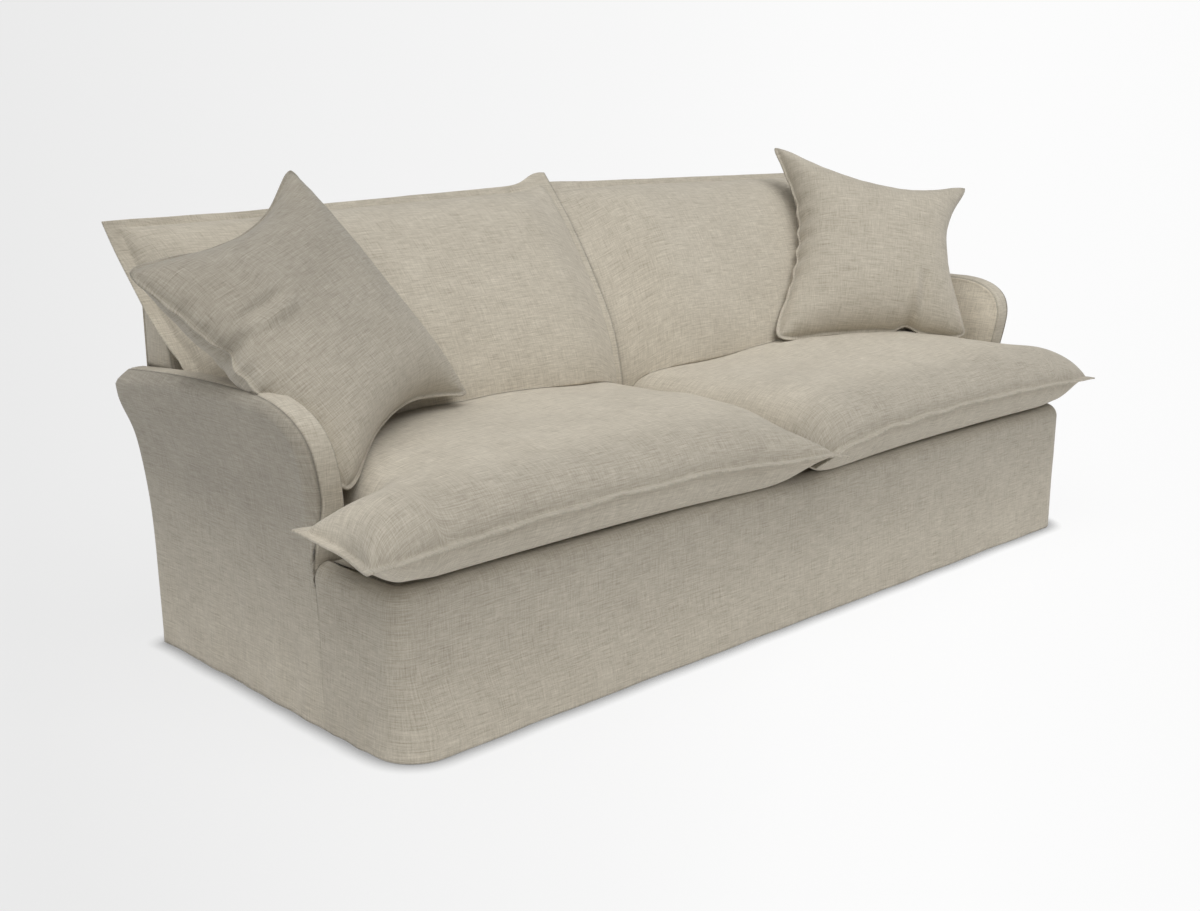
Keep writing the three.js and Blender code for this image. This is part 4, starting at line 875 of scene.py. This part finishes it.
def rim_of(share_u, share_v, wide, high):
    """Distance from the nearest edge of a grid of shares over a width and a height."""
    across, up = np.minimum(share_u, 1 - share_u), np.minimum(share_v, 1 - share_v)
    return np.minimum(across * wide, up * high)


pad_u, pad_v = np.meshgrid(graded([(0, 0), (0.01, 5), (0.99, 60), (1, 5)]),
                           graded([(0, 0), (0.02, 5), (0.98, 34), (1, 5)]))
pad_y = mix(0.036, SEAT_DEPTH - 0.008, pad_v)
pad_half = mix(BASE_HALF - 0.046, deck_half - 0.006, smoothstep(pad_y, SIDE_SEAM - 0.03, SIDE_SEAM))
pad_z = 0 * pad_y + DECK_HEIGHT - DECK_PAD_MIDDLE
foam_slab("deck_pad", np.stack([pad_half * (2 * pad_u - 1), pad_y, pad_z], -1),
          np.array([0.0, 0.0, -1.0]), rim_of(pad_u, pad_v, 2 * BASE_HALF, SEAT_DEPTH), DECK_PAD)

pad_top = back_top(BACK_HALF * (2 * pad_u - 1)) - 0.028
pad_z = mix(DECK_TOP + 0.016, pad_top, pad_v)
pad_half = half_width(np.minimum(pad_z, ARM_HEIGHT)) - ARM_WIDTH - 0.030
pad_x = np.minimum(BACK_HALF - 0.040, pad_half) * (2 * pad_u - 1)
into_back = np.array([0.0, 1.0, -RAKE]) / math.hypot(1.0, RAKE)
foam_slab("back_pad", np.stack([pad_x, back_face(pad_z), pad_z], -1) + BACK_PAD_MIDDLE * into_back,
          into_back, rim_of(pad_u, pad_v, 2 * BACK_HALF, BACK_HEIGHT - DECK_HEIGHT), BACK_PAD)

seam_share = mix(0.20, 0.84, pad_u)
rim_y, rim_z = (np.interp(seam_share, share_u[0], seam_line[:, k]) for k in (0, 1))
pad_share = mix(0.06, 0.80, pad_v)
pad_z = mix(DECK_TOP, rim_z, pad_share)
opens = smoothstep(pad_z, mix(DECK_TOP, ARM_HEIGHT, 0.55), ARM_HEIGHT)
pad_rear = mix(back_face(pad_z), REAR_LINE, opens)
pad_y = mix(mix(pad_rear, ARM_SETBACK, seam_share), rim_y, pad_share ** 2)
for side, name in ((-1, "left"), (1, "right")):
    pad_x = side * (half_width(pad_z) - ARM_WIDTH + ARM_PAD_MIDDLE)
    foam_slab(f"arm_pad_{name}", np.stack([pad_x, pad_y, pad_z], -1),
              np.array([side * 1.0, 0.0, 0.0]), rim_of(pad_u, pad_v, 0.40, 0.25), ARM_PAD)

# Seat cushions
# Two T-shaped cushions filled with feather and fibre: two linen faces sewn edge to edge,
# with the allowance left standing as a thin stitched flange and drawn out at the corners.
FLANGE = 0.017
HALF_FLANGE = 0.004 / 2
SEAT_FRONT, SEAT_REAR = -0.062, SEAT_DEPTH + 0.0117
EAR_REACH, EAR_DEPTH = BASE_HALF + 0.080, 0.232
SEAT_SEAM, SEAT_CROWN = 0.412, 0.506
SEAT_GAP = 0.003
SEAT_RISE_REACH, SEAT_FALL_REACH = 0.058, 0.030
CELL = 0.008
SEAT_BOW = 0.012
SEAT_DROOP_INNER, SEAT_DROOP_OUTER = 0.044, 0.028
# each one's side, seed, drawn-out ear, hump of filling, and how far its inner front tip is
# drawn along x, along y and down
SEAT_SIDES = {
    "left": (-1, 101, 0.002, 0.000, (-0.072, -0.014, -0.012)),
    "right": (1, 111, 0.014, 0.018, (0.006, 0.026, 0.014)),
}
# Painted light on the seat cushions: the top a little lighter than the seam.
SEAT_LINEN = linen("slub_linen_seat", LINEN_HEX, 2, (0.40, 1.02), (0.50, 1.05))


def stuffed(shape_mask, cell, reach):
    """Share of the full height over a plan of square cells, as filling lifts cloth: 0 at
    the seam and near 1 far inside. Repeated averaging of the four neighbours with a small
    pull to 1, whose size sets how far from the seam the cloth is still rising."""
    pull = (cell / reach) ** 2
    level = shape_mask * 0.5
    for _ in range(int(6 * reach / cell) ** 2 // 4 + 200):
        around = (np.roll(level, 1, 0) + np.roll(level, -1, 0)
                  + np.roll(level, 1, 1) + np.roll(level, -1, 1))
        level = shape_mask * (around + pull) / (4 + pull)
    return level


def looked_up(field, a, b, start_a, start_b, cell):
    """Values of a field of square cells at the points (a, b), by straight interpolation
    between the four nearest cell centres."""
    i = np.clip((a - start_a) / cell, 0, field.shape[0] - 1.001)
    j = np.clip((b - start_b) / cell, 0, field.shape[1] - 1.001)
    i0, j0 = i.astype(int), j.astype(int)
    fi, fj = i - i0, j - j0
    return ((1 - fi) * (1 - fj) * field[i0, j0] + fi * (1 - fj) * field[i0 + 1, j0]
            + (1 - fi) * fj * field[i0, j0 + 1] + fi * fj * field[i0 + 1, j0 + 1])


NOTCH = SEAT_FRONT + EAR_DEPTH
SEAT_BODY = deck_half - 0.0018
plan_x = np.arange(0, EAR_REACH + CELL, CELL)
plan_y = np.arange(SEAT_FRONT, SEAT_REAR + CELL, CELL)
px, py = np.meshgrid(plan_x, plan_y, indexing="ij")
stitched = ((px > SEAT_GAP + FLANGE) & (py > SEAT_FRONT + FLANGE) & (py < SEAT_REAR - FLANGE)
            & (((px < EAR_REACH - FLANGE) & (py < NOTCH - FLANGE))
               | (px < SEAT_BODY - FLANGE))).astype(float)
seat_rise = stuffed(stitched, CELL, SEAT_RISE_REACH)
seat_fall = stuffed(stitched, CELL, SEAT_FALL_REACH)
columns = graded([(SEAT_GAP, 0), (SEAT_GAP + 0.026, 11), (SEAT_GAP + 0.10, 20), (0.88, 170),
                  (SEAT_BODY - 0.026, 24), (SEAT_BODY, 11), (EAR_REACH - 0.026, 22),
                  (EAR_REACH, 11)])
body_column = int(np.argmin(np.abs(columns - SEAT_BODY)))
rows = graded([(SEAT_FRONT, 0), (SEAT_FRONT + 0.026, 11), (0.03, 16), (NOTCH - 0.026, 28),
               (NOTCH, 11), (NOTCH + 0.03, 8), (SEAT_REAR - 0.04, 66), (SEAT_REAR, 14)])
notch_row = int(np.argmin(np.abs(rows - NOTCH)))
seat_x, seat_y = np.meshgrid(columns, rows)
keep = np.ones((len(rows) - 1, len(columns) - 1), bool)
keep[notch_row:, body_column:] = False


def seat_surface(name, x_in, y_in):
    """Points of a seat cushion's top and underside over its plan, and its painted shade.
    The top rises from the seam as filling lifts cloth, and the underside falls to the
    deck. The seam line droops at both ends, and the left one's inner tip laps the right."""
    side, seed, ear, filling, drawn = SEAT_SIDES[name]
    lift = looked_up(seat_rise, x_in, y_in, 0, SEAT_FRONT, CELL) ** 0.64
    fall = looked_up(seat_fall, x_in, y_in, 0, SEAT_FRONT, CELL) ** 0.8
    inner = np.where(x_in > SEAT_BODY, NOTCH - y_in, np.hypot(SEAT_BODY - x_in, NOTCH - y_in))
    inner = np.where((x_in <= SEAT_BODY) & (y_in > NOTCH), SEAT_BODY - x_in, inner)
    rim = np.minimum(np.minimum(x_in - SEAT_GAP, EAR_REACH - x_in), y_in - SEAT_FRONT)
    rim = np.maximum(np.minimum(rim, inner), 0)
    share = np.clip((x_in - SEAT_GAP) / (EAR_REACH - SEAT_GAP), 0, 1)
    waist = 4 * share * (1 - share)
    front_share = 1 - smoothstep(y_in, SEAT_FRONT, 0.16)
    ear_share = smoothstep(x_in, SEAT_BODY, EAR_REACH) * (y_in < NOTCH + 0.001)
    ear_middle = np.clip(1 - np.abs(2 * (y_in - SEAT_FRONT) / EAR_DEPTH - 1), 0, 1)
    thin = np.exp(-rim / 0.03)
    flutter = 0.0017 * slack(side * x_in, y_in, 0.13, seed) * thin
    pucker = 0.0004 * slack(side * x_in, y_in, 0.024, seed + 5) * ridge(rim, FLANGE, 0.014)
    tip = ridge(x_in, 0, 0.07) * ridge(y_in, SEAT_FRONT, 0.06)
    corner = ridge(x_in, EAR_REACH, 0.05) * ridge(y_in, SEAT_FRONT, 0.05)
    rear_tip = ridge(x_in, EAR_REACH, 0.04) * ridge(y_in, NOTCH, 0.04)
    x = x_in - 0.006 * ear_share * ear_middle + 0.007 * rear_tip
    x = x + ear * corner
    y = y_in + SEAT_BOW * waist ** 0.7 * front_share + 0.8 * flutter * front_share + 0.018 * corner
    y = y + 0.008 * ear_share * smoothstep(y_in, NOTCH - 0.05, NOTCH) * (1 - rear_tip)
    droop = mix(SEAT_DROOP_INNER, SEAT_DROOP_OUTER, share) * (1 - waist) ** 1.6 * front_share
    droop = droop - 0.006 * rear_tip - 0.008 * ridge(x_in, EAR_REACH, 0.09) * front_share
    x, y, droop = (value + far * tip for value, far in zip((x, y, droop), drawn))
    hump = (0.005 * slack(side * x_in, y_in, 0.45, seed + 1)
            - 0.015 * ridge(x_in, 0.17, 0.19) * smoothstep(y_in, 0.15, 0.45)
            + 0.0016 * slack(side * x_in, y_in, 0.17, seed + 2)
            + filling * ridge(x_in, 0.66, 0.20) * ridge(y_in, 0.36, 0.17)) * lift
    base = SEAT_SEAM - droop * (1 - 0.6 * lift) + 1.6 * flutter
    stitch = 0.0008 * ridge(np.minimum(rim, SEAT_REAR - y_in), FLANGE, 0.0022)
    top_z = base + HALF_FLANGE - stitch + (SEAT_CROWN - SEAT_SEAM) * lift + hump + pucker
    fall = fall * mix(1, 0.30, smoothstep(x_in, BASE_HALF - 0.03, EAR_REACH))
    over_roll = ridge(y_in, -0.004, 0.022) * (1 - smoothstep(x_in, BASE_HALF - 0.10, BASE_HALF - 0.03))
    rests = DECK_TOP + 0.0004 - (0.007 + 0.012 * ridge(x_in, 0, 0.32)) * over_roll
    low_z = mix(base - HALF_FLANGE + stitch + pucker, rests, np.clip(fall, 0, 1))
    # Painted shade: a faint line at the flange's stitching on both faces, and on the top a darkened
    # front roll, deepest at the front edge and gone 0.11 m in.
    painted_shade = 0.08 * ridge(rim, FLANGE, 0.0026)
    painted_shade = np.stack([painted_shade + 0.38 * (1 - smoothstep(y_in, -0.02, 0.11)), painted_shade])
    return np.stack([side * x, y, top_z], -1), np.stack([side * x, y, low_z], -1), painted_shade


for name, (_, seed, *_) in SEAT_SIDES.items():
    cushion = sew_cushion(f"seat_cushion_linen_{name}", *seat_surface(name, seat_x, seat_y), keep,
                          seed)
    fit_padding(cushion, SEAT_LINEN, f"{name}_seat", f"seat_cushion_{name}")

# Back cushions
# Two large knife-edged cushions with a feather filling. They stand on the seat cushions,
# lean on the padded back, and roll over its top, with a standing flange along the seam.
BACK_FOOT, BACK_TOP = 0.464, 0.917
BACK_SETBACK = 0.566
BACK_FLANGE = 0.027
BACK_WIDE, BACK_LONG = 1.03, 0.52
BACK_RISE_REACH, BACK_PUFF, BACK_REAR_PUFF = 0.066, 0.094, 0.150
# Painted light and shade on the back cushions: lighter at their foot, darker towards their top.
BACK_LINEN = linen("slub_linen_back", LINEN_HEX, 3, (0.50, 1.12), (0.90, 0.95))
share_s = graded([(0, 0), (0.028, 12), (0.12, 18), (0.88, 130), (0.972, 18), (1, 12)])
share_t = graded([(0, 0), (0.06, 14), (0.2, 14), (0.80, 60), (0.93, 16), (1, 16)])
across_s, up_t = np.meshgrid(share_s, share_t)
cells_s = np.arange(-0.10, BACK_WIDE + CELL, CELL)
cells_t = np.arange(-0.10, BACK_LONG + CELL, CELL)
ps, pt = np.meshgrid(cells_s, cells_t, indexing="ij")
run_s, run_t = across_s * BACK_WIDE, up_t * BACK_LONG
foot_blunt = np.sqrt(1 - (1 - np.minimum(up_t / 0.045, 1)) ** 2)
for side, name, seed in ((-1, "left", 121), (1, "right", 131)):
    laps = side < 0
    stitched = ((ps < BACK_WIDE - BACK_FLANGE) & (pt < BACK_LONG - BACK_FLANGE)
                & ((ps > BACK_FLANGE) | (not laps))).astype(float)
    puffed = stuffed(stitched, CELL, BACK_RISE_REACH)
    swell = looked_up(puffed, run_s, run_t, -0.10, -0.10, CELL) ** 0.7
    blunt = foot_blunt
    rim = np.minimum(BACK_WIDE - run_s, BACK_LONG - run_t)
    if laps:
        rim = np.minimum(rim, run_s)
    else:
        blunt = foot_blunt * np.sqrt(1 - (1 - np.minimum(run_s / 0.03, 1)) ** 2)
    lap = np.exp(-run_s / 0.03)
    peak = (0.025 if laps else 0.002) * ridge(run_s, 0.013, 0.058) * up_t ** 4
    top_edge = BACK_TOP - 0.021 * across_s
    foot_z = BACK_FOOT - 0.055 * ridge(run_s, 0, 0.08)
    z = mix(foot_z, top_edge + peak, up_t)
    wing = 0.066 * np.maximum((z - ARM_CREST) / (0.905 - ARM_CREST), 0) ** 0.9
    inner = np.minimum(half_width(np.minimum(z, ARM_HEIGHT)) - ARM_WIDTH, BACK_HALF + ARM_WIDTH / 2)
    x = mix(SEAT_GAP, inner - 0.0014 + wing, across_s) - (0.002 if laps else 0.0) * lap
    wrap = 0.125 * smoothstep(across_s, 0.74, 1) * smoothstep(up_t, 0, 0.6) * mix(1, 0.45, up_t ** 3)
    y = BACK_SETBACK + 0.862 * np.maximum(z - 0.466, 0) ** 1.527 + wrap
    if laps:
        y = y - 0.012 * ridge(run_s, 0, 0.09)
        blunt = blunt * mix(0.62, 1, smoothstep(run_s, BACK_FLANGE, 0.17))
    else:
        blunt = blunt * mix(0.08, 1, smoothstep(run_s, -0.03, 0.20))
    step_y, step_z = np.gradient(y, axis=0), np.gradient(z, axis=0)
    lean = np.arctan2(step_y, step_z)
    hump = (1 + 0.030 * slack(side * x, z, 0.42, seed + 1)
            + 0.012 * slack(side * x, z, 0.16, seed + 2))
    stitch = 0.0014 * ridge(rim, BACK_FLANGE, 0.0022)
    flutter = 0.0032 * slack(side * x, z, 0.12, seed) * np.exp(-rim / 0.03)
    pucker = 0.0008 * slack(side * x, z, 0.026, seed + 5) * ridge(rim, BACK_FLANGE, 0.016)
    front = HALF_FLANGE - stitch + pucker + BACK_PUFF * swell * hump * blunt
    rear = HALF_FLANGE + BACK_REAR_PUFF * swell * blunt
    # the rear face stops where it meets the padded back: its face, or its top from above,
    # and no further back than the outside panel
    cosine, sine = np.cos(lean), np.sin(lean)
    to_face = (back_face(z) - y) / (cosine + RAKE * sine)
    hits_face = z - to_face * sine < back_top(x) + 0.002
    to_top = np.where(sine > 0.05, (z - back_top(x) - 0.004) / np.maximum(sine, 0.05), 1.0)
    over_back = (y + to_top * cosine > back_face(back_top(x))) & (z > back_top(x)) & (to_top > 0)
    room = np.where(hits_face & (x < BACK_HALF), np.maximum(to_face - 0.003, 0), 1.0)
    room = np.where(over_back, np.minimum(room, to_top), room)
    room = np.minimum(room, (BASE_DEPTH + 0.02 - y) / np.maximum(cosine, 0.3))
    rear = np.minimum(rear, np.maximum(room, HALF_FLANGE))
    faces = []
    for sign, off in ((-1, front), (1, rear)):
        face_y, face_z = y + flutter + sign * off * cosine, z - sign * off * sine
        over_top = smoothstep(face_z - back_top(x), 0.0, 0.030)
        behind = mix(BASE_DEPTH - 0.016, BASE_DEPTH + 0.022, over_top)
        face_y = np.minimum(face_y, behind + 0.002 * sign)
        seat_top = seat_surface(name, np.clip(x, 0.01, SEAT_BODY - 0.03),
                                np.minimum(face_y, 0.60))[0][..., 2]
        face_z = np.maximum(face_z, seat_top + (0.0012 if sign < 0 else 0.0))
        faces.append(np.stack([side * x, face_y, face_z], -1))
    # Painted shade: a faint line at the flange's stitching, and on the left cushion a dark line along
    # its inner edge where it laps the right one.
    painted_shade = 0.16 * ridge(rim, BACK_FLANGE, 0.0026) + 0.7 * laps * ridge(run_s, 0, 0.0024)
    cushion = sew_cushion(f"back_cushion_linen_{name}", *faces, painted_shade, shift=seed)
    fit_padding(cushion, BACK_LINEN, f"{name}_back", f"back_cushion_{name}")

# Throw pillows
# Two square knife-edged pillows with a thin flange and drawn-out tips, thrown against the
# back cushions. One edge of each is pinched in, and folds run from there and the tips.
# Painted shade on the pillows: both a little darker than the cloth, the left one much darker towards
# its top.
PILLOW_LINENS = {
    "left": linen("slub_linen_pillow_left", LINEN_HEX, 4, (0.50, 0.92), (0.86, 0.68)),
    "right": linen("slub_linen_pillow_right", LINEN_HEX, 7, (0.50, 0.95), (0.90, 0.94)),
}
PILLOW_FLANGE = 0.008
PILLOW_EARS, PILLOW_EAR_SPREAD, PILLOW_TIP = 0.009, 0.045, 0.004
PILLOW_RISE_REACH, PILLOW_PUFF = 0.085, 0.094
PILLOW_FOLDS = 6
# each one's width, its four corners, how far each side is drawn in, and its pinched edge:
# which edge, at which end, where along it, how deep and how wide
PILLOWS = {
    "left": (0.550, [[-1.030, 0.198, 0.458], [-0.560, 0.450, 0.523],
                     [-1.284, 0.466, 0.849], [-0.793, 0.721, 0.988]],
             [0.012, 0.014, 0.060, 0.054], ("a", -1, 0.20, 0.024, 0.10)),
    "right": (0.505, [[0.461, 0.462, 0.519], [0.933, 0.210, 0.499],
                      [0.721, 0.710, 0.984], [1.140, 0.366, 0.871]],
              [0.062, 0.056, 0.016, 0.067], ("b", -1, 0.36, 0.018, 0.10)),
}
share = graded([(0, 0), (0.04, 12), (0.16, 24), (0.84, 90), (0.96, 24), (1, 12)])
share_a, share_b = np.meshgrid(share, share)
for name, (width, corners, draws, pinch) in PILLOWS.items():
    seed = 141 + len(name)
    cells = np.arange(0, width + CELL, CELL)
    pa, pb = np.meshgrid(cells, cells, indexing="ij")
    within = np.minimum(np.minimum(pa, width - pa), np.minimum(pb, width - pb))
    puffed = stuffed((within > PILLOW_FLANGE).astype(float), CELL, PILLOW_RISE_REACH)
    swell = looked_up(puffed, share_a * width, share_b * width, 0, 0, CELL)
    swell = (swell / puffed.max()) ** 0.60
    a, b = 2 * share_a - 1, 2 * share_b - 1
    draw_a = np.where(a < 0, draws[0], draws[1])
    draw_b = np.where(b < 0, draws[2], draws[3])
    flat_a = width / 2 * a - draw_a * a * np.abs(a) * (1 - b ** 2) * (1 + 0.35 * b)
    flat_b = width / 2 * b - draw_b * b * np.abs(b) * (1 - a ** 2) * (1 + 0.25 * a)
    edge, end, at, deep, wide = pinch
    along, over = (b, a) if edge == "a" else (a, b)
    pinched = deep * ridge(along, at, wide) * np.maximum(end * over, 0) ** 4
    if edge == "a":
        flat_a = flat_a - end * pinched
    else:
        flat_b = flat_b - end * pinched
    waves = np.cos(math.tau * flat_b / 0.052) * ridge(b, 0, 0.5)
    flat_a = flat_a + 0.0035 * waves * np.maximum(-a, 0) ** 6
    rim = width / 2 * np.minimum(1 - np.abs(a), 1 - np.abs(b))
    ear_a = ear_b = tips = 0.0
    folds = 2.2 * np.sin(math.pi * np.clip((over * end - 0.35) / 0.6, 0, 1)) * (
        ridge(along, at, 0.05) - 0.9 * ridge(along, at + 0.11, 0.05))
    for corner_b in (-1, 1):
        for corner_a in (-1, 1):
            to_a, to_b = width / 2 * (1 - corner_a * a), width / 2 * (1 - corner_b * b)
            reach = np.hypot(to_a, to_b)
            fuller_a, fuller_b = (
                PILLOW_EARS * to / PILLOW_EAR_SPREAD * np.exp(1 - to / PILLOW_EAR_SPREAD - near / 0.04)
                for to, near in ((to_b, to_a), (to_a, to_b)))
            blunt = PILLOW_TIP * np.exp(-reach / 0.016)
            ear_a = ear_a + corner_a * (fuller_a - blunt)
            ear_b = ear_b + corner_b * (fuller_b - blunt)
            tips = tips + np.exp(-reach / 0.014)
            turn = np.arctan2(to_b, to_a)
            fold = np.cos(PILLOW_FOLDS * turn + corner_a + 2 * corner_b) * np.exp(-reach / 0.075)
            folds = folds + fold * (1 - np.exp(-reach / 0.02))
    flat_a, flat_b = flat_a + ear_a, flat_b + ear_b
    stitch = 0.0006 * ridge(rim, PILLOW_FLANGE, 0.002)
    flutter = 0.0045 * slack(flat_a, flat_b, 0.12, seed) * np.exp(-rim / 0.02)
    pucker = 0.0016 * slack(flat_a, flat_b, 0.035, seed + 5) * np.exp(-rim / 0.035)
    dents = 0.0022 * slack(flat_a, flat_b, 0.16, seed + 7) * swell
    uneven = (pucker + dents + 0.005 * folds) * swell ** 0.5
    high = HALF_FLANGE - stitch + PILLOW_PUFF * swell + uneven
    foot_a, foot_b, head_a, head_b = np.array(corners)
    out_axis = np.cross(foot_b + head_b - foot_a - head_a, head_a + head_b - foot_a - foot_b)
    out_axis /= np.linalg.norm(out_axis)
    share_x, share_y = (0.5 + flat[..., None] / width for flat in (flat_a, flat_b))
    plane = mix(mix(foot_a, foot_b, share_x), mix(head_a, head_b, share_x), share_y)
    plane = plane + flutter[..., None] * out_axis
    faces = [plane + sign * high[..., None] * out_axis for sign in (1, -1)]
    # Painted shade: a faint line at the flange's stitching, and darkened tips.
    painted_shade = 0.12 * ridge(rim, PILLOW_FLANGE, 0.002) + 0.5 * tips
    cushion = sew_cushion(f"throw_pillow_linen_{name}", *faces, painted_shade)
    fit_padding(cushion, PILLOW_LINENS[name], f"{name}_pillow",
                f"throw_pillow_{name}")

low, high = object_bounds()
